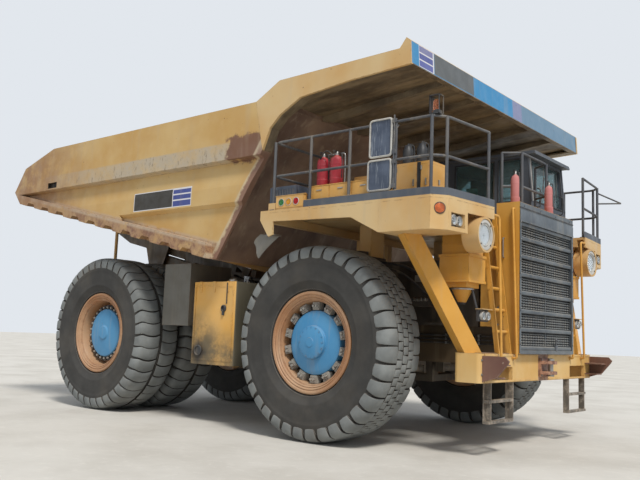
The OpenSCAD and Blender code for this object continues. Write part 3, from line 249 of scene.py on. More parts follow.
def side_zones(m, x, y, z):
    """Scuffed strip low on the top rail, rust at its front end, worn sill, blank plate and its stripes."""
    wander = m.cloud((4, 5, 0.7), 0.25, 0.75, -0.12, 0.12)
    scuff = m.both(m.band(z, 4.47, 4.79, 0.02), m.band(x, -1.9, 3.9, 0.15),
                   m.cloud((3, 5, 0.7), 0.3, 0.6, 0.45, 1), m.ramp(x, -1.9, 1.2, 0.4, 1))
    m.coat("b4a690", scuff)
    m.coat("7a6856", scuff, m.cloud((9, 6, 0.8, m.scaled((1.5, 1, 0.5))), 0.54, 0.66))
    m.coat("6c483a", m.band(m.sum(z, m.both(wander, 0.5)), 4.46, 4.88, 0.03),
           m.band(m.sum(x, wander), 3.86, 4.95, 0.05), 0.92)
    # Worn sill: above is the height over the line of its ledge, which falls toward the front
    above = m.past(z, m.sum(3.875, m.both(x, -0.216)))
    sill = m.both(m.band(above, -0.6, 0.005, 0.02), m.cloud((3, 5, 0.65), 0.3, 0.55, 0.35, 1),
                  m.ramp(x, -2.8, 1.5, 0.45, 1))
    m.coat("9e7a5c", sill, 0.9)
    m.coat("745042", sill, m.cloud((5, 6, 0.75), 0.44, 0.6), 0.85)
    m.coat("beaa92", m.band(above, -0.07, 0.04, 0.025), m.cloud((6, 5, 0.7), 0.3, 0.5), 0.7)
    m.coat("906a4c", m.ramp(x, 0.4, -2.7), m.cloud((2.6, 5, 0.65), 0.3, 0.6, 0.3, 1), 0.9)
    # Painted shade: dark inside the slot near the tail
    m.coat("26221e", m.band(x, -1.75, -1.38, 0.004), m.band(z, 4.52, 4.66, 0.004),
           m.ramp(m.math("ABSOLUTE", y), 3.084, 3.078))
    # Pale, then brown, past the line of the panel's leaning front end
    ahead = m.past(x, m.sum(3.52, m.both(m.past(z, 2.84), 0.657)))
    m.coat("c6b69a", m.ramp(ahead, -0.15, -0.11), 0.7)
    m.coat("805c4c", m.ramp(m.sum(ahead, m.both(wander, 0.4)), -0.10, -0.05), m.ramp(z, 4.7, 4.5), 0.9)
    # Bare worn steel inside the load space
    steel = m.mix(m.cloud((2.5, 6, 0.7), 0.4, 0.62), "806c5a", "5c483c")
    m.coat(steel, m.band(y, -2.885, 2.885, 0.004), 0.9)
    # Blank plate with its pale edge and blue stripes, outside on the right alone
    right_side = m.ramp(y, -2.885, -2.895)
    for x0, x1, z0, z1, tone in PLATE_PARTS:
        m.coat(tone, right_side, m.band(x, x0, x1, 0.003), m.band(z, z0, z1, 0.003))


def canopy_zones(m, x, y, z):
    """Underside darkened by painted shade, partly sooty, and the blue band across the front edge with its
    panels.
    """
    # Faces turned down take a darker tone: painted shade under the canopy, partly sooty grime
    clouds = m.cloud((1.6, 6, 0.65, m.scaled((0.5, 2, 1))), 0.35, 0.65)
    soot_and_shade = m.mix(clouds, "7e705a", "3e3831")
    m.coat(soot_and_shade, m.facing_up(0.35, 0.15), m.band(y, -3.045, 3.045, 0.005), 0.92)
    edge = m.both(m.ramp(x, 7.44, 7.47), m.band(z, 5.455, 5.795, 0.004))
    for y0, y1, z0, z1, tone in BAND_PARTS:
        m.coat(tone, edge, m.band(y, y0, y1, 0.004), m.band(z, z0, z1, 0.003))


def box_zones(m, x, y, z):
    """Slate paint on the rear box, behind the signal lamps."""
    m.coat("4a5260", m.ramp(x, 5.42, 5.41), m.ramp(y, -2.986, -2.98))


def step_zones(m, x, y, z):
    """Bare dark steel on the steps that hang below the bumper."""
    steel = m.mix(m.cloud((8, 6, 0.75), 0.45, 0.65), "54504c", "968c80")
    m.coat(steel, m.ramp(z, 1.05, 1.04))


def bumper_zones(m, x, y, z):
    """Rusty pink hitch in the middle of the bumper."""
    rust = m.mix(m.cloud((9, 6, 0.75), 0.4, 0.6), "b28468", "6e483e")
    m.coat(rust, m.ramp(x, 8.10, 8.125), m.band(y, -0.19, 0.19, 0.01), m.cloud((6, 5), 0.25, 0.4, 0.5, 1))


def guard_zones(m, x, y, z):
    """Slate inside the guard's opening."""
    m.coat("3c4248", m.ramp(x, 7.99, 8.0), m.band(y, -0.9975, 0.9975, 0.001), m.ramp(z, 3.47, 3.46))


def tank_zones(m, x, y, z):
    """Grey slab behind the main tank, grey front end of dirt and painted shade, and sooty grime low down and
    round the drain.
    """
    height = m.sum(z, m.both(m.ramp(x, 3.5, 2.7), -0.35))
    m.coat("685a40", m.ramp(height, 1.8, 1.15), m.cloud((3, 6, 0.7), 0.3, 0.6, 0.4, 1))
    from_drain = m.sum(m.math("ABSOLUTE", m.past(x, 2.76)), m.math("ABSOLUTE", m.past(z, 1.24)))
    m.coat("28221c", m.ramp(from_drain, 0.36, 0.10))
    # Grey front face: part dirt, part painted shade
    m.coat("625d4e", m.ramp(x, 3.636, 3.642))
    m.coat("68655d", m.ramp(x, 2.5, 2.46))


def rubber(name, tone):
    m = Material(name, tone, 0.85)
    m.coat(shade(tone, 1.45), m.cloud((3, 5), 0.35, 0.7))
    m.coat("706658", m.cloud((1.2, 4), 0.45, 0.75, 0, 0.25))
    m.coat("968e84", m.edges(0.015), 0.45)
    m.bump(m.noise(60, 5), 0.2, 0.004)
    return m.done()


def glass(name, tint, rough=0.2):
    m = Material(name, tint, rough)
    m.coat(DUST, m.cloud((3, 4), 0.5, 0.8, 0, 0.3))
    m.set("Transmission Weight", 0.85)
    m.set("IOR", 1.2)
    return m.done()


def dripped_mirror():
    """Dull mirror with pale drips down it."""
    m = Material("mirror_dripped", "3c4658", 0.25)
    m.coat("545e70", m.cloud((3, 3), 0.4, 0.7))
    m.coat("b0b8c0", m.cloud((1, 5, 0.7, m.scaled((26, 1, 2.2)), 0.6), 0.54, 0.72, 0, 0.7))
    return m.done()


def metal(name, tone, rough):
    m = Material(name, tone, rough, 1.0)
    m.coat(shade(tone, 0.6), m.cloud((12, 5), 0.4, 0.7, 0, 0.6))
    m.set("Roughness", m.cloud((18, 4), 0.3, 0.7, rough, rough + 0.25))
    return m.done()


PAINT = {
    "yellow": painted("paint_yellow", YELLOW, YELLOW_PALE),
    "yellow_deep": painted("paint_yellow_deep", YELLOW_DEEP, "d6a048", streaks=0.2),
    "body": painted("paint_body", "c0995a", "cbac74", dust=0.25, streaks=0.18, zones=side_zones),
    "canopy": painted("paint_canopy", YELLOW, YELLOW_PALE, dust=0.3, streaks=0.15, zones=canopy_zones),
    "tank": painted("paint_tank", "e2a84a", "deb068", dust=0.2, streaks=0.1, zones=tank_zones),
    "grimy": painted("paint_grimy", "5c4c36", "3e362c", dust=0.5),
    "bottle": painted("bottle_red", "a82c38", "b65254", rough=0.4, dust=0.3),
    "bottle_faded": painted("bottle_faded", "b2585c", "c68e88", rough=0.6, dust=0.4),
    "boxes": painted("paint_boxes", "ce9c50", "d6b27a", zones=box_zones),
    "steps": painted("paint_steps", "623c32", "785446", worn="aa9682", zones=step_zones),
    "bumper": painted("paint_bumper", "d0a45c", "d8b67a", dust=0.2, zones=bumper_zones),
    "guard": painted("paint_guard", YELLOW_DEEP, "d09e4c", streaks=0.2, zones=guard_zones),
    "headboard": painted("worn_headboard", "967c68", "6a5448", worn="ac9680", rough=0.7,
                         streaks=0.45),
    "slate": painted("paint_slate", "464c56", "585e66", worn="787064", chips=0.5,
                     streaks=0.08),
    "rail": painted("paint_rail", "3a3e46", "56585c", worn="968e80", chips=0.7),
    "grille": painted("paint_grille", "4c545c", "626a70", worn="968e80"),
    "rust_plate": painted("rusty_plate", "543e32", "765844", worn="967856", rough=0.75,
                          chips=0.8, streaks=0.35),
    "blue": painted("paint_blue", BLUE, "5494be", worn="786e60", dust=0.2),
    "rim": painted("paint_rim", "a67650", "b89270", worn="744e38", dust=0.4),
    "casting": painted("casting", "3e3a36", "58524a", rough=0.7, dust=0.6),
    "dark": painted("dark_plastic", "222428", "36383c", worn="5a5854"),
    "chrome_rim": painted("worn_rim", "c4c2bc", "969490", worn="5a5650", rough=0.4),
    # Pale paint on the lamps' dished reflectors: a painted reflection of the sky
    "reflector": painted("lamp_reflector_painted_sky", "d4dae2", "b0b8c4", worn="787a80",
                         rough=0.25, dust=0.1, chips=0.3, streaks=0.05),
    "black_core": painted("radiator_core", "141618", "242628", dust=0.1),
    "card": painted("green_card", "5abea5", "78c8b4", rough=0.7, dust=0.2),
    "tan": painted("cabinet_tan", "b28848", "caa672"),
    "flap": painted("rubber_flap", "787670", "8c8880", rough=0.8),
    "clamp": painted("clamp_grey", "8c8a84", "a4a098", rough=0.6),
    "rubber": rubber("tyre_rubber", "363533"),
    "tread": rubber("tread_rubber", "707372"),
    "groove": rubber("groove_rubber", "363432"),
    "glass": glass("window_glass", "96b0b4", 0.05),
    "lens": glass("lens_glass", "ecf0f0", 0.05),
    "amber": glass("amber_lens", "ffb088"),
    "green_lens": glass("green_lens", "46b48c"),
    "yellow_lens": glass("yellow_lens", "ffd66e"),
    "red_lens": glass("red_lens", "d63c5a"),
    "mirror_glass": dripped_mirror(),
    "steel": metal("bare_steel", "aaa8a4", 0.35),
    "chrome": metal("polished_steel", "d6d6d6", 0.12)}

# The CAD nodes, by the paint that they take
NODES_IN = {
    "grimy": "frame_rails body_beams", "bumper": "bumper", "steps": "bumper_steps", "guard": "radiator_guard",
    "casting": "engine driveline front_suspension tie_rod knuckle_l knuckle_r rear_axle", "grille": "grille",
    "yellow": "decks headlamps body_ribs deck_sides", "slate": "kick_plates cab_shell cab_door",
    "rail": "handrails", "lens": "lamp_glass", "glass": "cab_glass door_glass", "dark": "cab_inside mirrors",
    "yellow_deep": "deck_struts ladders air_cleaners hoist_barrel_l hoist_barrel_r hand_bars",
    "boxes": "deck_boxes", "bottle": "extinguishers", "tank": "tanks", "rust_plate": "body_floor",
    "chrome": "steer_rod_l steer_rod_r hoist_tube_l hoist_tube_r hoist_rod_l hoist_rod_r",
    "rim": "front_rim_l front_rim_r rear_rims_l rear_rims_r",
    "rubber": "front_tyre_l front_tyre_r rear_tyres_l rear_tyres_r",
    "body": "body_side_l body_side_r", "headboard": "headboard", "canopy": "canopy"}

for paint, names in NODES_IN.items():
    for name in names.split():
        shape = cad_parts[name].data
        shape.materials.clear()
        shape.materials.append(PAINT[paint])
        shape.set_sharp_from_angle(angle=math.radians(35))


# Mesh building

def prism_faces(n):
    """Faces between two outlines of n points: both ends, and the walls between them."""
    walls = [(i, i + n, (i + 1) % n + n, (i + 1) % n) for i in range(n)]
    return [tuple(range(n)), tuple(range(2 * n - 1, n - 1, -1)), *walls]


def ring(at, way, side, radius, steps):
    """Points of a circle about the direction way, from the direction side on."""
    other = way.cross(side)
    return [at + (side * math.cos(a) + other * math.sin(a)) * radius
            for a in (2 * math.pi * k / steps for k in range(steps))]


def round_path(points, radius, steps):
    """Path with its corners rounded."""
    out = [points[0]]
    for before, here, after in zip(points, points[1:], points[2:]):
        a, b = before - here, after - here
        reach = min(radius, a.length * 0.45, b.length * 0.45)
        a, b = a.normalized() * reach, b.normalized() * reach
        for k in range(steps + 1):
            t = k / steps
            out.append(here + a * (1 - t) ** 2 + b * t ** 2)
    out.append(points[-1])
    return out


class Mesh:
    """Collects faces in several paints, then makes one object of them. The first paint is the usual one."""

    def __init__(self, paint, side=1):
        self.paints = [paint]
        self.verts, self.faces, self.mats = [], [], []
        self.turn = Matrix.Translation((REAR_X, 0, 0))
        self.side = side

    def sides(self):
        """Runs a loop for the left side and then, with Y turned round, for the right."""
        for self.side in (1, -1):
            yield self.side
        self.side = 1

    def put(self, point):
        x, y, z = point
        return Vector((x, self.side * y, z))

    def add(self, verts, faces, paint=None):
        paint = paint or self.paints[0]
        if paint not in self.paints:
            self.paints.append(paint)
        base = len(self.verts)
        self.verts += [self.turn @ Vector(v) for v in verts]
        self.faces += [[i + base for i in f] for f in faces]
        self.mats += [self.paints.index(paint)] * len(faces)

    def grid(self, rows, paint=None, closed=True):
        """Faces between rows of points; closed joins each row's last point to its first."""
        n = len(rows[0])
        faces = []
        for i in range(0, (len(rows) - 1) * n, n):
            for j in range(n if closed else n - 1):
                k = (j + 1) % n
                faces.append((i + j, i + k, i + n + k, i + n + j))
        self.add([p for row in rows for p in row], faces, paint)

    def prism(self, outline, low, high, across="y", paint=None):
        """Outline of two coordinates, pulled along the third axis from low to high."""
        n = "xyz".index(across)
        verts = [self.put((*p[:n], c, *p[n:])) for c in (low, high) for p in outline]
        self.add(verts, prism_faces(len(outline)), paint)

    def box(self, low, high, paint=None):
        (x0, y0, z0), (x1, y1, z1) = low, high
        self.prism([(x0, y0), (x1, y0), (x1, y1), (x0, y1)], z0, z1, "z", paint)

    def block(self, middle, half, paint=None):
        """Box about a middle, by its half sizes."""
        middle, half = Vector(middle), Vector(half)
        self.box(middle - half, middle + half, paint)

    def lathe(self, profile, at, axis, steps=48, paint=None):
        """Turns [radius, distance along the axis] pairs about an axis."""
        at, axis = self.put(at), self.put(axis).normalized()
        side = axis.orthogonal().normalized()
        rows = [ring(at + axis * along, axis, side, max(radius, 1e-4), steps) for radius, along in profile]
        self.grid(rows, paint)

    def rod(self, a, b, radius, steps, paint=None):
        a, b = Vector(a), Vector(b)
        length = (b - a).length
        self.lathe([(0, 0), (radius, 0), (radius, length), (0, length)], a, b - a, steps, paint)

    def tube(self, path, radius, steps=8, paint=None, bend=0.0, cuts=5):
        """Round tube along a path, its corners rounded to a bend radius."""
        points = [self.put(p) for p in path]
        if bend:
            points = round_path(points, bend, cuts)
        side = None
        rows = [[points[0]] * steps]
        for before, here, after in zip(points[:1] + points, points, points[1:] + points[-1:]):
            way = (after - before).normalized()
            side = (way.orthogonal() if side is None else side - way * side.dot(way)).normalized()
            rows.append(ring(here, way, side, radius, steps))
        self.grid([*rows, [points[-1]] * steps], paint)

    def bolt(self, at, axis, radius, height, paint="steel"):
        self.lathe([(0, -0.004), (radius * 1.5, -0.004), (radius * 1.5, 0.003)], at, axis, 12, paint)
        self.lathe([(radius, 0), (radius, height), (0, height)], at, axis, 6, paint)

    def make(self, name, replaces=None, body="chassis", sharp=35):
        mesh = bpy.data.meshes.new(name)
        mesh.from_pydata([tuple(v) for v in self.verts], [], self.faces)
        for paint in self.paints:
            mesh.materials.append(PAINT[paint])
        mesh.polygons.foreach_set("material_index", self.mats)
        mesh.polygons.foreach_set("use_smooth", [True] * len(self.faces))
        mesh.validate()
        # Points that meet become one, and all faces turn outward
        merged = bmesh.new()
        merged.from_mesh(mesh)
        bmesh.ops.remove_doubles(merged, verts=merged.verts, dist=1e-5)
        bmesh.ops.dissolve_degenerate(merged, edges=merged.edges, dist=1e-6)
        bmesh.ops.recalc_face_normals(merged, faces=merged.faces)
        merged.to_mesh(mesh)
        merged.free()
        mesh.set_sharp_from_angle(angle=math.radians(sharp))
        obj = bpy.data.objects.new(name, mesh)
        scene.collection.objects.link(obj)
        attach(obj, body)
        if replaces:
            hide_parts(replaces)


# Tyres

# Half section of the lug tips and of the tread's floor under them: [from the middle plane, radius]
LUG_TOP = [(0, 1.505), (0.10, 1.505), (0.20, 1.504), (0.30, 1.500), (0.375, 1.488), (0.422, 1.465),
           (0.449, 1.425), (0.459, 1.37), (0.463, 1.315), (0.459, 1.285)]
LUG_FOOT = [(0, 1.452), (0.10, 1.452), (0.20, 1.450), (0.29, 1.446), (0.355, 1.434), (0.396, 1.410),
            (0.422, 1.375), (0.438, 1.34), (0.449, 1.305), (0.455, 1.285)]
SIDEWALL = [(0.459, 1.25), (0.461, 1.235), (0.457, 1.225), (0.462, 1.17), (0.464, 1.10), (0.462, 1.02),
            (0.456, 0.96), (0.458, 0.945), (0.448, 0.93), (0.428, 0.88), (0.405, 0.845), (0.40, 0.815),
            (0.352, 0.792)]
# Share of a lug's height at its rim, so that its top is rounded off
RIM_LIFT = 0.8


def along(section, t):
    """Point on a section at t from 0 to 1, by equal steps between its points."""
    x = max(0.0, min(1.0, t)) * (len(section) - 1)
    i = min(int(x), len(section) - 2)
    return Vector(section[i]).lerp(Vector(section[i + 1]), x - i)


def cut_lines(inset, count):
    """0 to 1 in count equal steps between two narrow ones."""
    return [0, *(inset + (1 - 2 * inset) * k / count for k in range(count + 1)), 1]


def border(rows):
    """Outer points of a grid, in order."""
    return [*rows[0], *(row[-1] for row in rows[1:]), *reversed(rows[-1][:-1]),
            *(row[0] for row in reversed(rows[1:-1]))]


def on_rim(s, t):
    return s in (0, 1) or t in (0, 1)


def on_tyre(at, angle, y, radius):
    return at + Vector((math.sin(angle) * radius, y, math.cos(angle) * radius))


def lug_rings(mesh, at, rng, count, shake, bend, half, start, end, cuts):
    """A ring of lugs on either half of a tyre. At t, from start to end, bend turns a lug and half is its half
    width in pitches. At s, from one edge to the other, start and end are its reach across the tyre."""
    pitch = 2 * math.pi / count
    spots = [[(s, t) for t in cut_lines(0.03, cuts)] for s in cut_lines(0.09, 2)]
    for side in (1, -1):
        for k in range(count):
            middle = (k + (0.5 if side < 0 else 0)) * pitch + rng.uniform(-shake, shake)

            def point(s, t, lift):
                v = start(s) + (end(s) - start(s)) * t
                u = middle + bend(t) + pitch * half(t) * (2 * s - 1)
                y, r = along(LUG_FOOT, v).lerp(along(LUG_TOP, v), lift)
                return on_tyre(at, u, side * y, r)

            mesh.grid([[point(s, t, RIM_LIFT if on_rim(s, t) else 1.0) for s, t in row] for row in spots],
                      "tread", closed=False)
            top = [point(s, t, RIM_LIFT) for s, t in border(spots)]
            low = [point(s * 1.06 - 0.03, t, 0.0) for s, t in border(spots)]
            mesh.grid([top, low], "groove")


def block_tread(mesh, at, rng):
    """Front tyre: rounded shoulder blocks, and small staggered blocks with narrow cuts between them."""
    count = 36
    lug_rings(mesh, at, rng, count, 0.006, lambda t: 0, lambda t: 0.455 - 0.10 * t * t,
              lambda s: 0.215 + 0.035 * abs(s - 0.5), lambda s: 0.985 - 0.06 * abs(2 * s - 1) ** 3, 8)
    pitch = math.pi / count
    half = pitch * 0.444
    for column, (y0, y1) in enumerate([(-0.20, -0.075), (-0.065, 0.065), (0.075, 0.20)]):
        for k in range(count * 2):
            middle = (k + 0.5 * (column % 2)) * pitch
            skew = rng.uniform(-0.012, 0.012)
            ends = [rng.uniform(-0.008, 0.008) for _ in range(4)]
            rows = []
            for s in (0, 0.12, 0.5, 0.88, 1):
                row = []
                for t in (0, 0.1, 0.5, 0.9, 1):
                    a, b = ends[0::2] if t < 0.5 else ends[1::2]
                    u = middle - half + 2 * half * s + skew * (t - 0.5)
                    y = y0 + (y1 - y0) * t + (a + (b - a) * s) * abs(2 * t - 1)
                    row.append(on_tyre(at, u, y, 1.497 if on_rim(s, t) else 1.504))
                rows.append(row)
            mesh.grid(rows, "tread", closed=False)
            foot = [at + (p - at) * Vector((0.967, 1, 0.967)) for p in border(rows)]
            mesh.grid([border(rows), foot], "groove")


def wave_tread(mesh, at, rng):
    """Rear tyre: long lugs across the tread, with a wave in their edges and notched shoulders."""
    lug_rings(mesh, at, rng, 40, 0.004, lambda t: 0.026 * math.sin(t * 7.5) * (1 - t) + 0.02 * t,
              lambda t: 0.455 - 0.13 * max(0, t - 0.55) * 1.6, lambda s: 0.03 + 0.01 * s, lambda s: 0.985, 12)


def make_tyres():
    rng = random.Random(7)
    half = LUG_FOOT + SIDEWALL
    carcass = [(r, -y) for y, r in reversed(half)] + [(r, y) for y, r in half[1:]]
    for label, name, side in SIDES:
        for piece, x, y, tread, node, body in (
                ("tyre_front_" + name, WHEELBASE, FRONT_WHEEL_Y, block_tread, "front_tyre_", "front_wheel_"),
                ("tyre_rear_%s_outer" % name, 0, REAR_WHEEL_Y[0], wave_tread, "rear_tyres_", "rear_wheels_"),
                ("tyre_rear_%s_inner" % name, 0, REAR_WHEEL_Y[1], wave_tread, "rear_tyres_", "rear_wheels_")):
            mesh = Mesh("rubber")
            at = Vector((x, side * y, HUB_Z))
            mesh.lathe(carcass, at, OUT, 96)
            tread(mesh, at, rng)
            mesh.make(piece, node + label, body + name, sharp=50)


make_tyres()


# Wheels

RIM_FACE = [
    (0.60, -0.02), (0.62, 0.02), (0.628, 0.20), (0.632, 0.30), (0.642, 0.325), (0.655, 0.33), (0.660, 0.352),
    (0.678, 0.368), (0.686, 0.360), (0.694, 0.366), (0.712, 0.386), (0.722, 0.378), (0.732, 0.378),
    (0.745, 0.396), (0.768, 0.398), (0.784, 0.388), (0.790, 0.365), (0.786, 0.346), (0.65, 0.344)]
RIM_BACK = [(0.65, -0.344), (0.786, -0.346), (0.79, -0.37), (0.77, -0.398), (0.72, -0.40), (0.63, -0.36),
            (0.605, -0.30), (0.60, -0.02)]


def ring_of(mesh, at, count, place):
    """Calls place at count places about an axle, with +Y outward along it and +Z away from it."""
    plain, side = mesh.turn, mesh.side
    hub = plain @ Matrix.Translation(mesh.put(at))
    mesh.side = 1
    for k in range(count):
        turned = Matrix.Rotation(2 * math.pi * k / count, 4, "Y")
        mesh.turn = hub @ turned @ Matrix.Scale(side, 4, OUT)
        place()
    mesh.turn, mesh.side = plain, side


def wedge(mesh, half, flare, low, high, y0, y1, paint):
    """Block whose half width grows by flare from low to high."""
    mesh.prism([(-half, low), (half, low), (half * flare, high), (-half * flare, high)], y0, y1, "y", paint)


def front_wheel(label, name, side):
    mesh = Mesh("rim", side)
    at = (WHEELBASE, FRONT_WHEEL_Y, HUB_Z)
    mesh.lathe(RIM_BACK + RIM_FACE, at, OUT, 96)
    mesh.lathe([(0.19, 0.10), (0.63, 0.10), (0.63, 0.12), (0.19, 0.12)], at, OUT, 64, "dark")
    mesh.lathe([
        (0.495, 0.08), (0.498, 0.24), (0.490, 0.264), (0.47, 0.276), (0.42, 0.287), (0.30, 0.306),
        (0.262, 0.312), (0.256, 0.322), (0.255, 0.352), (0.246, 0.366), (0.17, 0.385), (0.075, 0.396),
        (0.068, 0.404), (0.0, 0.405)],
        at, OUT, 96, "blue")
    mesh.lathe([(0.19, -0.18), (0.33, -0.18), (0.42, 0.09), (0.42, 0.10), (0.19, 0.10)], at, OUT, 64, "dark")

    def clamp():
        wedge(mesh, 0.062, 1.1, 0.502, 0.622, 0.16, 0.275, "clamp")
        wedge(mesh, 0.05332, 1, 0.525, 0.60, 0.27, 0.29, "clamp")
        for x in (-0.028, 0.028):
            mesh.bolt((x, 0.29, 0.562), OUT, 0.020, 0.03, "clamp")

    ring_of(mesh, at, 14, clamp)
    ring_of(mesh, at, 16, lambda: mesh.bolt((0, 0.368, 0.226), OUT, 0.010, 0.010, "blue"))
    mesh.make("wheel_front_" + name, "front_rim_" + label, "front_wheel_" + name, sharp=30)


def rear_wheel(label, name, side):
    mesh = Mesh("rim", side)
    for y in REAR_WHEEL_Y:
        mesh.lathe(RIM_BACK + RIM_FACE, (0, y, HUB_Z), OUT, 96)
    at = (0, REAR_WHEEL_Y[0], HUB_Z)
    mesh.lathe([
        (0.281, -1.40), (0.42, -1.40), (0.42, 0.0), (0.60, 0.02), (0.61, 0.045), (0.585, 0.052), (0.50, 0.06),
        (0.47, 0.085), (0.465, 0.16), (0.45, 0.19)], at, OUT, 96)
    mesh.lathe([
        (0.475, 0.18), (0.475, 0.215), (0.46, 0.232), (0.36, 0.246), (0.15, 0.262), (0.135, 0.275),
        (0.12, 0.285), (0.0, 0.288)], at, OUT, 96, "blue")

    def lug():
        wedge(mesh, 0.036, 1.1, 0.475, 0.555, 0.05, 0.20, "dark")
        mesh.bolt((0, 0.20, 0.512), OUT, 0.022, 0.026, "clamp")

    ring_of(mesh, at, 26, lug)
    mesh.make("wheel_rear_" + name, "rear_rims_" + label, "rear_wheels_" + name, sharp=30)


for which in SIDES:
    front_wheel(*which)
    rear_wheel(*which)


# Handrails: the CAD's routes in bent round tube

TUBE = 0.021
RAIL_HEIGHTS = (4.10, 4.65)
POST_TOP = 4.66
DECK_Z = 3.55
SIDE_RAIL = [(4.95, 1.90), (4.95, 3.04), (7.845, 3.035), (7.985, 2.87), (8.085, 1.85)]
SIDE_POSTS = [(x, 3.04) for x in (4.95, 5.70, 6.45, 7.26, 7.845)] + [SIDE_RAIL[0], SIDE_RAIL[3], SIDE_RAIL[4]]
GUARD_RAIL = [(7.70, -0.64, DECK_Z), (7.97, -0.48, 3.75), (7.97, 0.48, 3.75), (7.70, 0.64, DECK_Z)]


def handrails():
    mesh = Mesh("rail")
    for side in mesh.sides():
        for z in RAIL_HEIGHTS:
            mesh.tube([(x, y, z) for x, y in SIDE_RAIL], TUBE, 12, bend=0.12)
        for x, y in SIDE_POSTS:
            mesh.tube([(x, y, DECK_Z), (x, y, POST_TOP)], TUBE + 0.003, 12)
            mesh.block((x, y, DECK_Z + 0.007), (0.05, 0.035, 0.007))
            mesh.prism([(x - 0.008, DECK_Z), (x + 0.06, DECK_Z + 0.01), (x + 0.008, DECK_Z + 0.16)],
                       y - 0.005, y + 0.005)
            for dx in (-0.036, 0.036):
                mesh.bolt((x + dx, y, DECK_Z + 0.014), UP, 0.011, 0.009)
        # Yellow clips on the kick plate at each post along the side
        for x, y in SIDE_POSTS[:4]:
            mesh.box((x - 0.075, 3.052, DECK_Z + 0.005), (x + 0.075, 3.0745, DECK_Z + 0.115), "yellow")
            for dx in (-0.055, 0.055):
                mesh.bolt((x + dx, 3.055, DECK_Z + 0.08), IN, 0.012, 0.01)
    for z in RAIL_HEIGHTS:
        mesh.tube([(x, y, z) for x, y, foot in GUARD_RAIL], TUBE, 12, bend=0.12)
    for x, y, foot in GUARD_RAIL:
        mesh.tube([(x, y, foot), (x, y, POST_TOP)], TUBE + 0.003, 12)
        mesh.block((x, y, foot + 0.006), (0.045, 0.045, 0.006))
    mesh.make("handrail_tubes", "handrails")


# Mirrors, lamps and bottles

# How much smaller than the mirror's outline, corner radius and Y, from the back of its shell to its glass
MIRROR_RINGS = [
    (0.12, 0.04, -3.012), (0.03, 0.045, -3.025), (0, 0.055, -3.045), (0, 0.055, -3.075),
    (0.03, 0.045, -3.088), (0.055, 0.035, -3.086), (0.055, 0.035, -3.068), (0.055, 0.035, -3.069)]


def rounded(w, h, r, steps=5):
    """Outline of a w by h rectangle about the origin with rounded corners."""
    out = []
    for quarter, (across, along_z) in enumerate(((1, 1), (-1, 1), (-1, -1), (1, -1))):
        for k in range(steps + 1):
            a = math.radians(90 * (quarter + k / steps))
            out.append((across * (w / 2 - r) + r * math.cos(a), along_z * (h / 2 - r) + r * math.sin(a)))
    return out


def mirrors():
    mesh = Mesh("dark")
    for x0, x1, z0, z1 in ((6.82, 7.225, 4.15, 4.72), (6.80, 7.225, 3.665, 4.13)):
        cx, cz = (x0 + x1) / 2, (z0 + z1) / 2
        rows = [[(cx + a, y, cz + b) for a, b in rounded(x1 - x0 - less, z1 - z0 - less, corner)]
                for less, corner, y in MIRROR_RINGS]
        whole = [tuple(range(len(rows[0])))]
        mesh.add(rows[0], whole)
        mesh.grid(rows[:4])
        mesh.grid(rows[3:7], "chrome_rim")
        mesh.add(rows[7], whole, "mirror_glass")
        for z in (z0 + 0.06, z1 - 0.06):
            mesh.tube([(7.254, -3.05, z), (cx + 0.05, -3.03, z)], 0.011, 8, "rail")
            mesh.box((7.225, -3.088, z - 0.03), (7.285, -3.055, z + 0.03), "rail")
    mesh.tube([(7.254, -3.0773, 3.69), (7.254, -3.0773, 4.74)], 0.012, 10, "rail")
    mesh.tube([(7.30, -3.03, 4.60), (7.245, -3.06, 4.50)], 0.010, 8, "rail")
    for z in (4.35, 4.55):
        mesh.tube([(8.0, 2.885, z), (8.38, 3.05, 4.35)], 0.015, 10, "rail")
    mesh.make("mirror_heads", "mirrors")


def lamp(mesh, at, radius, steps=28, deep=1.0):
    """Round lamp that looks forward: lens over a dished reflector in pale paint, a painted reflection of the
    sky, in a rim.
    """
    for paint, stretch, profile in (
            ("lens", 1, ((0, 0.012), (0.5, 0.010), (0.86, 0.004), (0.9, 0.0))),
            ("chrome_rim", 1, ((0.86, -0.002), (0.88, 0.012), (0.94, 0.016), (1, 0.010), (1, -0.03),
                               (0.9, -0.032))),
            # Dish in pale paint: painted reflection of the sky
            ("reflector", deep,
             ((0.9, -0.003), (0.7, -0.03), (0.3, -0.055), (0.12, -0.056), (0.1, -0.02), (0, -0.015)))):
        mesh.lathe([(radius * a, b * stretch) for a, b in profile], at, FORE, steps, paint)


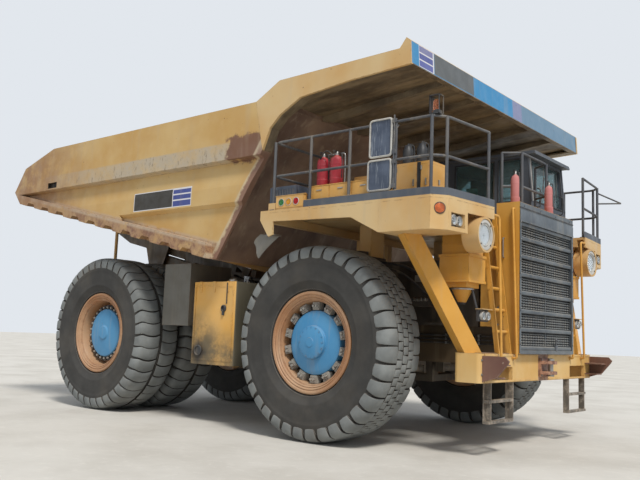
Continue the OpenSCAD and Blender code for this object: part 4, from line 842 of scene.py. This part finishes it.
def lamps():
    mesh = Mesh("lens")
    for side in mesh.sides():
        y, z = 2.06, 3.11
        mesh.lathe([(0.226, -0.02), (0.226, 0.035), (0.215, 0.045), (0.175, 0.045), (0.165, 0.02),
                    (0.16, -0.01)],
                   (8.115, y, z), FORE, 64, "chrome_rim")
        lamp(mesh, (8.135, y, z), 0.165, 40, 0.3)
        reach = 0.196 * math.sqrt(0.5)
        for dy, dz in product((-reach, reach), repeat=2):
            mesh.bolt((8.16, y + dy, z + dz), FORE, 0.009, 0.008, "dark")
        for y in (2.60, 2.75):
            lamp(mesh, (8.035, y, 3.235), 0.073)
        mesh.box((7.985, 2.52, 3.142), (7.998, 2.83, 3.328), "dark")
        # Twin lamps between the strut's foot and the ladder
        for y in (1.70, 1.84):
            lamp(mesh, (8.02, y, 1.98), 0.062)
        mesh.box((7.95, 1.62, 1.90), (7.985, 1.92, 2.075), "dark")
        mesh.box((7.94, 1.61, 2.07), (8.05, 1.93, 2.08), "yellow")
        mesh.tube([(7.90, 1.77, 2.0), (7.94, 1.77, 2.0)], 0.03, 10, "dark")
        mesh.tube([(7.90, 1.77, 2.0), (7.86, 1.80, 2.2), (7.80, 1.82, 2.46)], 0.018, 10, "dark", 0.05)
        # Amber marker on the chamfer of the deck's corner
        at, away = (7.957, 2.9875, 3.37), (0.165, 0.17, 0)
        mesh.lathe([(0.078, -0.01), (0.082, 0.004), (0.078, 0.012), (0.07, 0.012)], at, away, 32, "dark")
        mesh.lathe([(0.072, 0.010), (0.05, 0.022), (0, 0.026)], at, away, 32, "amber")
        for k in range(5):
            r, out = 0.012 + 0.011 * k, 0.0255 - 0.001 * k
            mesh.lathe([(r, out), (r + 0.003, out + 0.002), (r + 0.006, out - 0.0005)], at, away, 24, "amber")
    # Beacon in its cage on the rail's corner
    x, y, z = 7.86, -2.96, 4.675
    for dx, dy in product((-0.075, 0.075), (-0.055, 0.055)):
        mesh.block((x + dx, y + dy, z + 0.135), (0.006, 0.006, 0.135), "dark")
    for dz in (0.005, 0.267):
        mesh.block((x, y, z + dz), (0.081, 0.061, 0.005), "dark")
    mesh.box((x - 0.02, y - 0.05, z), (x + 0.065, y + 0.05, z + 0.06), "dark")
    mesh.box((x - 0.081, y - 0.061, z), (x - 0.072, y + 0.061, z + 0.26), "dark")
    mesh.lathe([(0, 0.21), (0.03, 0.205), (0.043, 0.18), (0.045, 0.06), (0.05, 0.055), (0.05, 0.04)],
               (x, y, z), UP, 28, "amber")
    mesh.make("lamps_and_beacon", "lamp_glass")


def signal_box():
    """Peaked rim, hinged front and the three lenses of the signal lamps' box."""
    mesh = Mesh("tan")
    mesh.prism([(-3.086, 3.758), (-2.99, 3.758), (-2.99, 3.768), (-3.038, 3.782), (-3.086, 3.768)], 5.03,
               5.62, "x")
    mesh.box((5.045, -3.085, 3.565), (5.605, -3.079, 3.575))
    for x, lens in ((5.158, "green_lens"), (5.31, "yellow_lens"), (5.463, "red_lens")):
        at = (x, -3.08, 3.66)
        mesh.lathe([(0.060, 0), (0.060, 0.008), (0.052, 0.009)], at, IN, 32, "chrome_rim")
        mesh.lathe([(0.053, 0.004), (0.03, 0.008), (0, 0.009)], at, IN, 32, lens)
    mesh.make("signal_lamps")


def extinguishers():
    mesh = Mesh("bottle")
    for x, y, z, r, coat in ((5.75, -2.79, 3.88, 0.10, "bottle"), (6.01, -2.79, 3.88, 0.10, "bottle"),
                             (7.99, -0.76, 3.75, 0.07, "bottle_faded"),
                             (8.09, 0.30, 3.75, 0.07, "bottle_faded")):
        mesh.lathe([
            (0, 0), (r * 0.9, 0), (r, 0.015), (r, 0.40), (r * 0.93, 0.435), (r * 0.7, 0.465),
            (r * 0.38, 0.482), (r * 0.34, 0.49)], (x, y, z), UP, 36, coat)
        mesh.lathe([(r * 0.3, 0.48), (r * 0.3, 0.52), (r * 0.22, 0.53), (r * 0.2, 0.55), (0, 0.551)],
                   (x, y, z), UP, 16, "steel")
        mesh.box((x - 0.012, y - r * 0.9, z + 0.545), (x + 0.012, y + r * 0.5, z + 0.557), "dark")
        mesh.box((x - 0.010, y - r * 0.9, z + 0.520), (x + 0.010, y + r * 0.2, z + 0.530), "dark")
        mesh.tube([(x + r * 0.25, y, z + 0.51), (x + r * 0.95, y, z + 0.52), (x + r * 1.02, y, z + 0.40),
                   (x + r * 1.02, y, z + 0.13)], 0.009, 8, "dark", 0.06)
        for low in (0.10, 0.33):
            mesh.lathe([(r * 1.004, low), (r * 1.02, low + 0.005), (r * 1.02, low + 0.025),
                        (r * 1.004, low + 0.03)],
                       (x, y, z), UP, 36, coat)
    mesh.tube([(5.66, -2.70, 3.88), (5.66, -2.70, 4.42), (6.10, -2.70, 4.42), (6.10, -2.70, 3.88)], 0.012, 10,
              "steel", 0.05)
    mesh.tube([(5.75, -2.88, 4.32), (5.88, -2.90, 4.46), (6.02, -2.88, 4.34)], 0.010, 8, "dark", 0.08)
    mesh.make("extinguisher_bottles", "extinguishers")


# Radiator front

def radiator_front():
    mesh = Mesh("grille")
    low, high, half, bars = 1.51, 3.45, 0.993, 7
    pitch, tall = (high - low) / bars, 0.062
    mesh.box((8.118, -half, low), (8.124, half, high), "black_core")
    for i in range(bars + 1):
        z = low + i * pitch - (0.055 if i == bars else 0)
        mesh.prism([(8.14, z), (8.186, z), (8.192, z + 0.012), (8.192, z + tall - 0.016), (8.176, z + tall),
                    (8.14, z + tall)], -half, half)
    # Fine wavy slats between the wide bars
    waves = 44
    for i, k in product(range(bars), range(5)):
        z = low + i * pitch + tall + (pitch - tall) * (k + 0.7) / 5.3
        rows = []
        for n in range(waves + 1):
            y, mid = -half + 2 * half * n / waves, z + (0.006 if n % 2 else -0.006)
            rows.append([(8.135, y, mid - 0.012), (8.160, y, mid - 0.016), (8.163, y, mid - 0.006),
                         (8.140, y, mid + 0.008)])
        mesh.grid(rows)
    mesh.box((8.150, -0.012, low), (8.166, 0.0, high))
    # Header panel with its step, and the frame round the opening
    mesh.prism([(8.198, 3.455), (8.212, 3.458), (8.212, 3.62), (8.205, 3.635), (8.205, 3.742),
                (8.198, 3.745)],
               -1.045, 1.045)
    for y in (-1.05, 0.993):
        mesh.box((8.198, y, 1.46), (8.208, y + 0.056, 3.456))
    mesh.box((8.198, -0.993, 1.46), (8.208, 0.993, 1.508))
    for y, k in product((-1.02, 1.02), range(8)):
        mesh.bolt((8.207, y, 1.6 + 0.25 * k), FORE, 0.010, 0.008, "slate")
    for y in (-0.9, -0.3, 0.3, 0.9):
        mesh.bolt((8.204, y, 3.70), FORE, 0.010, 0.008, "slate")
    # Latch and a bent tie at the grille's foot
    mesh.box((8.19, 0.30, 1.50), (8.215, 0.36, 1.60), "slate")
    mesh.tube([(8.2, 0.33, 1.58), (8.235, 0.24, 1.70), (8.2, 0.42, 1.66)], 0.012, 8, "slate", 0.03)
    mesh.make("radiator_grille", "grille")


# Ladder hand bars

def hand_bars():
    """Bent bars either side of each ladder, and collars where the rungs meet the stiles."""
    mesh = Mesh("yellow_deep")
    foot = 1.39
    for side in mesh.sides():
        for x, y_in, y, top in ((8.11, 1.055, 1.097, 3.64), (8.135, 1.778, 1.598, 3.44)):
            mesh.tube([(x, y_in, top), (x, y, top), (8.185, y, foot), (8.122, y, foot)], 0.019, 14,
                      bend=0.06, cuts=8)
            mesh.lathe([(0.036, 0), (0.036, 0.010), (0.022, 0.012)], (8.121, y, foot), FORE, 24)
            for dz in (-0.026, 0.026):
                mesh.bolt((8.128, y, foot + dz), FORE, 0.006, 0.005)
        for k in range(1, 7):
            x, z = 8.08 - 0.30 * k / 6.6, 1.45 + 2.1 * k / 6.6
            mesh.lathe([(0.0245, -0.004), (0.0245, 0.364)], (x, 1.14, z), OUT, 16)
            for y, way in ((1.118, IN), (1.527, OUT)):
                mesh.lathe([(0.03, 0), (0.03, 0.006), (0, 0.007)], (x, y, z), way, 14)
    mesh.make("ladder_bars", "hand_bars")


# Trim of the cab, cabinets, tanks, guard and what hangs under the deck

def cab_trim():
    """Window rubbers, visor edge, wipers, grab tubes and a card behind the glass."""
    mesh = Mesh("slate")
    sill, head = 4.12, 4.86

    def face_x(z):
        """The cab's leaning front."""
        return 7.60 - 0.07 * (z - 4.08) / 0.91

    def frame_of(corners, width, lift):
        """Flat strip of a width round an opening, its corners given in order."""
        corners = [Vector(c) for c in corners]
        middle = sum(corners, Vector()) / len(corners)
        normal = (corners[1] - corners[0]).cross(corners[2] - corners[1]).normalized()
        outer = [c + (c - middle).normalized() * width for c in corners]
        for i in range(len(corners)):
            verts = [corners[i - 1], corners[i], outer[i], outer[i - 1]]
            verts += [v + normal * lift for v in verts]
            mesh.add(verts, prism_faces(4), "dark")

    # Windscreen rubber, then those of the side windows on the right
    frame_of([(face_x(z) + 0.002, y, z) for y, z in ((0.82, sill), (2.08, sill), (2.08, head), (0.82, head))],
             0.03, 0.012)
    for x0, x1 in ((6.10, 6.88), (6.98, 7.42)):
        frame_of([(x, 0.698, z) for x, z in ((x0, sill), (x1, sill), (x1, head), (x0, head))], 0.028, 0.01)
    # Visor's drip edge, roof rails and corner posts
    mesh.box((7.655, 0.665, 4.925), (7.69, 2.235, 4.96))
    mesh.box((5.70, 0.655, 4.93), (7.68, 0.672, 4.955))
    for y in (0.69, 2.17):
        mesh.prism([(7.602, 4.09), (7.618, 4.09), (7.548, 4.93), (7.532, 4.93)], y, y + 0.04)
    # Bright strip down the screen's near edge, as on the photographed cab
    mesh.prism([(7.601, 4.10), (7.613, 4.10), (7.549, 4.88), (7.537, 4.88)], 0.765, 0.785, "y", "chrome_rim")
    # Wipers with their arms
    for y, tip in ((1.05, 1.25), (1.62, 1.84)):
        mesh.rod((face_x(4.14) + 0.03, y, 4.13), (face_x(4.56) + 0.04, tip, 4.60), 0.008, 8, "dark")
        mesh.rod((face_x(4.32) + 0.03, tip - 0.05, 4.32), (face_x(4.80) + 0.03, tip + 0.02, 4.80), 0.007, 6,
                 "dark")
        mesh.lathe([(0, 0), (0.022, 0), (0.022, 0.03), (0, 0.032)], (7.598, y, 4.13), FORE, 14, "dark")
    # Grab tubes on the sill in front of the screen
    for y in (0.95, 1.45, 1.95):
        mesh.tube([(7.60, y, 4.02), (7.66, y, 4.02), (7.665, y, 4.34), (7.60, y, 4.36)], 0.011, 8, "dark",
                  0.05)
    # Pale green card behind the near side window
    mesh.add([(6.30, 0.80, 4.20), (6.52, 0.80, 4.16), (6.50, 0.80, 4.43), (6.27, 0.80, 4.45)],
             [(0, 1, 2, 3), (3, 2, 1, 0)], "card")
    mesh.make("cab_trim")


def door_trim():
    """Rubber round the door's window, its handle and latch."""
    mesh = Mesh("dark")
    for x0, x1, z0, z1 in ((6.17, 6.81, 4.10, 4.125), (6.17, 6.81, 4.765, 4.785), (6.17, 6.19, 4.12, 4.77),
                           (6.79, 6.81, 4.12, 4.77)):
        mesh.box((x0, 2.193, z0), (x1, 2.203, z1))
    mesh.tube([(x, y, 3.92) for x, y in ((6.80, 2.195), (6.80, 2.24), (6.66, 2.24), (6.66, 2.195))], 0.011, 8,
              "steel", 0.02)
    mesh.box((6.76, 2.194, 3.97), (6.83, 2.206, 4.03), "steel")
    mesh.make("door_handle", body="cab_door")


def cabinets():
    """Doors, hinges and handles of the cabinets on the right deck, and the filters behind them."""
    mesh = Mesh("boxes")
    # Doors on the outer faces: from, to, Y of the face, low, high
    for x0, x1, y, z0, z1 in ((6.92, 7.27, -2.50, 3.60, 4.14), (7.35, 7.48, -2.50, 3.60, 4.14),
                              (6.12, 6.44, -2.45, 3.90, 4.05), (6.46, 6.78, -2.45, 3.90, 4.05)):
        mesh.box((x0, y - 0.012, z0), (x1, y + 0.002, z1))
        for z in (z0 + 0.06, z1 - 0.06):
            mesh.rod((x0 + 0.01, y - 0.018, z - 0.03), (x0 + 0.01, y - 0.018, z + 0.03), 0.012, 8, "steel")
        mesh.block((x1 - 0.04, y - 0.02, (z0 + z1) / 2), (0.01, 0.01, 0.05), "steel")
    for x0, x1 in ((5.64, 6.03), (6.05, 6.45), (6.47, 6.87)):
        mesh.box((x0, -2.988, 3.68), (x1, -2.978, 3.865))
        mesh.box((x0 + 0.15, -2.997, 3.80), (x0 + 0.25, -2.985, 3.815), "steel")
    mesh.box((5.62, -2.99, 3.872), (6.89, -2.61, 3.886))
    mesh.box((7.28, -2.506, 3.57), (7.34, -2.498, 4.17), "dark")
    # Front face of the forward cabinet
    mesh.box((7.498, -2.48, 3.60), (7.512, -2.02, 4.14))
    mesh.box((7.51, -2.30, 3.85), (7.53, -2.27, 3.92), "steel")
    # Two dark filters on the cabinet behind the mirrors
    for x in (6.95, 7.20):
        mesh.lathe([(0, 0), (0.075, 0), (0.08, 0.02), (0.08, 0.26), (0.055, 0.30), (0.055, 0.33),
                    (0.02, 0.34), (0, 0.34)], (x, -2.25, 4.181), UP, 28, "dark")
        mesh.tube([(x, -2.25, 4.50), (x, -2.25, 4.54), (x + 0.02, -2.12, 4.54), (x + 0.02, -2.08, 4.18)],
                  0.014, 8, "dark", 0.05)
    # Louvres of the slate box at the rear of the deck
    for k in range(9):
        x = 4.82 + 0.055 * k
        mesh.prism([(x, -2.952), (x + 0.03, -2.952), (x + 0.015, -2.966)], 3.62, 3.90, "z", "slate")
    mesh.make("cabinet_doors")


def deck_flap():
    """Grey rubber flap hung from the fin at the deck's rear corner, with its clamp bar."""
    mesh = Mesh("flap")
    # X and Z of the flap's corners
    top_rear, top_front, low_rear, tip = (Vector(c) for c in (
        (4.60, 3.205), (4.975, 3.165), (4.478, 3.066), (4.553, 2.813)))
    for back in (0, 0.010):
        rows = []
        for t in (k / 8 for k in range(9)):
            row = []
            for f in (k / 6 for k in range(7)):
                x, z = top_rear.lerp(top_front, f).lerp(low_rear.lerp(tip, f), t)
                row.append((x, back - 2.94 + 0.05 * f - 0.04 * math.sin(2.5 * t) + 0.02 * math.sin(6 * f), z))
            rows.append(row)
        mesh.grid(rows, closed=False)
    mesh.box((4.86, -3.072, 3.155), (4.99, -2.87, 3.18), "steel")
    mesh.make("deck_flap")


def under_deck_gear():
    """Bands and gland of the front suspension cylinders, steel pipes with their clamps, and a valve group."""
    mesh = Mesh("casting")
    for side in mesh.sides():
        x, y = WHEELBASE, 1.62
        for z, r, h, paint in ((1.951, 0.215, 0.05, "yellow_deep"), (2.06, 0.202, 0.03, "steel"),
                               (2.52, 0.206, 0.06, "yellow_deep"), (2.88, 0.206, 0.05, "yellow_deep")):
            mesh.lathe([(0.185, z), (r, z + 0.004), (r, z + h - 0.004), (0.185, z + h)], (x, y, 0), UP, 48,
                       paint)
        for a in (2 * math.pi * k / 10 for k in range(10)):
            mesh.bolt((x + 0.2 * math.cos(a), y + 0.2 * math.sin(a), 2.0), UP, 0.011, 0.014)
        # Pipes along the frame rail down to the bumper, held by clamps
        for z in (1.70, 1.64, 1.58):
            mesh.tube([(5.9, 0.575, z), (7.65, 0.575, z)], 0.017, 8, "dark")
            for x in (6.1, 6.7, 7.3):
                mesh.block((x, 0.575, z), (0.02, 0.024, 0.024), "steel")
        # Guard tower's pipes, from the suspension's head down behind the strut
        mesh.tube([(5.72, 1.15, 2.90), (6.3, 1.10, 2.80), (6.9, 1.02, 2.30), (6.9, 0.70, 1.86)], 0.022, 10,
                  "dark", 0.25, 8)
        mesh.tube([(5.72, 1.20, 2.82), (6.2, 1.16, 2.70), (6.75, 1.00, 2.20), (6.75, 0.70, 1.86)], 0.018,
                  10, "dark", 0.25, 8)
        mesh.box((6.4, 0.56, 1.86), (7.0, 0.80, 1.90))
    # Valve group and its pipes on the right, ahead of the front tyre
    mesh.box((6.30, -1.02, 2.15), (6.62, -0.82, 2.55))
    mesh.box((6.36, -1.06, 2.55), (6.56, -0.84, 2.66), "steel")
    for x in (6.36, 6.43, 6.50, 6.57):
        mesh.lathe([(0.028, 0), (0.028, 0.07), (0.02, 0.08), (0.02, 0.12), (0, 0.12)], (x, -1.02, 2.26), IN,
                   12, "steel")
    mesh.make("under_deck_gear")


def tank_fittings():
    """Raised frame round each tank's face, its latch, cap, straps, drain and bar."""
    mesh = Mesh("tank")
    y = 2.51
    for side in mesh.sides():
        for x0, x1, z0, z1 in ((2.60, 3.60, 2.40, 2.43), (2.60, 3.60, 1.10, 1.13), (2.60, 2.63, 1.13, 2.40),
                               (3.57, 3.60, 1.13, 2.40)):
            mesh.box((x0, y - 0.012, z0), (x1, y + 0.0072, z1))
        mesh.lathe([(0.062, 0), (0.062, 0.02), (0.045, 0.03), (0.04, 0.006), (0, 0.006)], (3.37, y, 2.02),
                   OUT, 24, "dark")
        mesh.box((3.35, y, 1.90), (3.39, y + 0.03, 1.97), "dark")
        mesh.lathe([(0.075, 0), (0.075, 0.05), (0.06, 0.07), (0, 0.075)], (3.30, 2.25, 2.49), UP, 24, "steel")
        for x in (2.75, 3.10, 3.45):
            mesh.box((x - 0.03, 1.50, 2.488), (x + 0.03, 2.515, 2.497))
            mesh.box((x - 0.03, y, 2.30), (x + 0.03, y + 0.006, 2.497))
        mesh.lathe([(0.095, 0), (0.095, 0.022), (0.08, 0.026), (0.075, 0.004), (0, 0.004)], (2.76, y, 1.27),
                   OUT, 28, "dark")
        mesh.tube([(3.44, y + 0.012, 2.47), (3.44, y + 0.012, 2.10)], 0.009, 8, "dark")
    mesh.make("tank_fittings")


def bumper_trim():
    """Edge beads, tread plates, bolts and the hitch's pin."""
    mesh = Mesh("bumper")
    face = 8.12
    for side in mesh.sides():
        for z in (1.06, 1.43):
            mesh.box((face - 0.006, 0.20, z - 0.012), (face + 0.008, 1.98, z + 0.012))
        mesh.box((7.74, 1.12, 1.449), (8.09, 1.98, 1.458), "rust_plate")
        for z in (1.16, 1.36):
            mesh.bolt((face, 2.05, z), FORE, 0.015, 0.014)
    for y, z in product((-0.13, 0.13), (1.13, 1.36)):
        mesh.bolt((8.15, y, z), FORE, 0.018, 0.016)
    mesh.lathe([(0.052, -0.135), (0.052, -0.11), (0.038, -0.11), (0.038, 0.11), (0.052, 0.11), (0.052, 0.135),
                (0.02, 0.145), (0, 0.145)], (8.25, 0, 1.245), UP, 32, "steel")
    mesh.make("bumper_trim")


def guard_trim():
    """Slate panel over the grille, edge frame, bolts and side handles of the radiator guard."""
    mesh = Mesh("grille")
    mesh.box((8.196, -1.045, 3.46), (8.206, 1.045, 3.745))
    mesh.box((8.20, -1.05, 3.655), (8.212, 1.05, 3.675), "dark")
    mesh.box((8.20, -1.05, 3.45), (8.214, 1.05, 3.475))
    for side in mesh.sides():
        mesh.box((8.196, 0.995, 1.47), (8.207, 1.05, 3.46))
        for z in (1.62 + 0.26 * k for k in range(8)):
            mesh.bolt((8.206, 1.02, z), FORE, 0.012, 0.01)
            mesh.bolt((7.86, 1.053, z), OUT, 0.014, 0.012)
        mesh.tube([(7.95, y, z) for y, z in ((1.05, 2.9), (1.09, 2.9), (1.09, 3.2), (1.05, 3.2))], 0.011, 8,
                  "steel", 0.03)
    mesh.box((8.197, -1.0, 1.452), (8.207, 1.0, 1.50))
    mesh.make("guard_trim")


def cleaner_bands():
    """Bands, clasps, outlet ring and dust cup of each air cleaner."""
    mesh = Mesh("yellow_deep")
    x, y = 7.67, 1.83
    for side in mesh.sides():
        for z, half_x, half_y, tall in ((2.84, 0.252, 0.262, 0.02), (2.47, 0.25, 0.26, 0.02),
                                        (3.0, 0.213, 0.236, 0.015), (3.2, 0.213, 0.236, 0.015)):
            mesh.block((x, y, z), (half_x, half_y, tall))
        # Clasps on the inner face, flat ones on the right
        for dx in (-0.17, 0.17):
            mesh.block((x + dx, 1.57, 2.66), (0.02, 0.01 + 0.01 * side, 0.06), "steel")
        mesh.lathe([(0.17, 0), (0.172, 0.02), (0.165, 0.03)], (x, y, 2.35), UP, 40, "steel")
        mesh.lathe([(0.0, -0.03), (0.045, -0.028), (0.06, 0.0), (0.062, 0.02)], (x, y, 2.17), UP, 32, "dark")
    mesh.make("cleaner_bands")


for build in (handrails, mirrors, lamps, signal_box, extinguishers, radiator_front, hand_bars, cab_trim,
              door_trim, cabinets, deck_flap, under_deck_gear, tank_fittings, bumper_trim, guard_trim,
              cleaner_bands):
    build()


# Floor, backdrop and light

def make_floor():
    size = 120
    mesh = bpy.data.meshes.new("floor")
    mesh.from_pydata([(-size, -size, 0), (size, -size, 0), (size, size, 0), (-size, size, 0)], [],
                     [(0, 1, 2, 3)])
    floor = bpy.data.objects.new("floor", mesh)
    scene.collection.objects.link(floor)
    m = Material("floor_ground", "cecac2", 0.9)
    m.coat("beb9b0", m.cloud((0.5, 6, 0.6), 0.35, 0.7))
    m.coat("dedad2", m.cloud((6, 6, 0.7), 0.5, 0.75, 0, 0.4))
    mesh.materials.append(m.done())


def make_world():
    """Soft light all round, and a pale backdrop for what the camera sees, also in metal and through glass."""
    world = bpy.data.worlds.new("sky")
    scene.world = world
    world.use_nodes = True
    nodes, links = world.node_tree.nodes, world.node_tree.links
    path = nodes.new("ShaderNodeLightPath")
    seen = path.outputs["Is Camera Ray"]
    for ray in ("Is Transmission Ray", "Is Glossy Ray"):
        either = nodes.new("ShaderNodeMath")
        either.operation = "MAXIMUM"
        links.new(seen, either.inputs[0])
        links.new(path.outputs[ray], either.inputs[1])
        seen = either.outputs[0]
    mix = nodes.new("ShaderNodeMixShader")
    links.new(seen, mix.inputs[0])
    light, backdrop = nodes["Background"], nodes.new("ShaderNodeBackground")
    for n, node, tone, strength in ((1, light, "d6dee8", 0.75), (2, backdrop, "e2e7ed", 1.0)):
        node.inputs[0].default_value = linear(tone)
        node.inputs[1].default_value = strength
        links.new(node.outputs[0], mix.inputs[n])
    links.new(mix.outputs[0], nodes["World Output"].inputs[0])


def make_sun():
    sun_data = bpy.data.lights.new("sun", "SUN")
    sun_data.energy = 2.8
    sun_data.angle = math.radians(12)
    sun_data.color = (1.0, 0.97, 0.92)
    sun = bpy.data.objects.new("sun", sun_data)
    toward = Vector((-0.52, 0.31, -0.80))
    sun.rotation_euler = toward.to_track_quat("-Z", "Y").to_euler()
    scene.collection.objects.link(sun)


make_floor()
make_world()
make_sun()
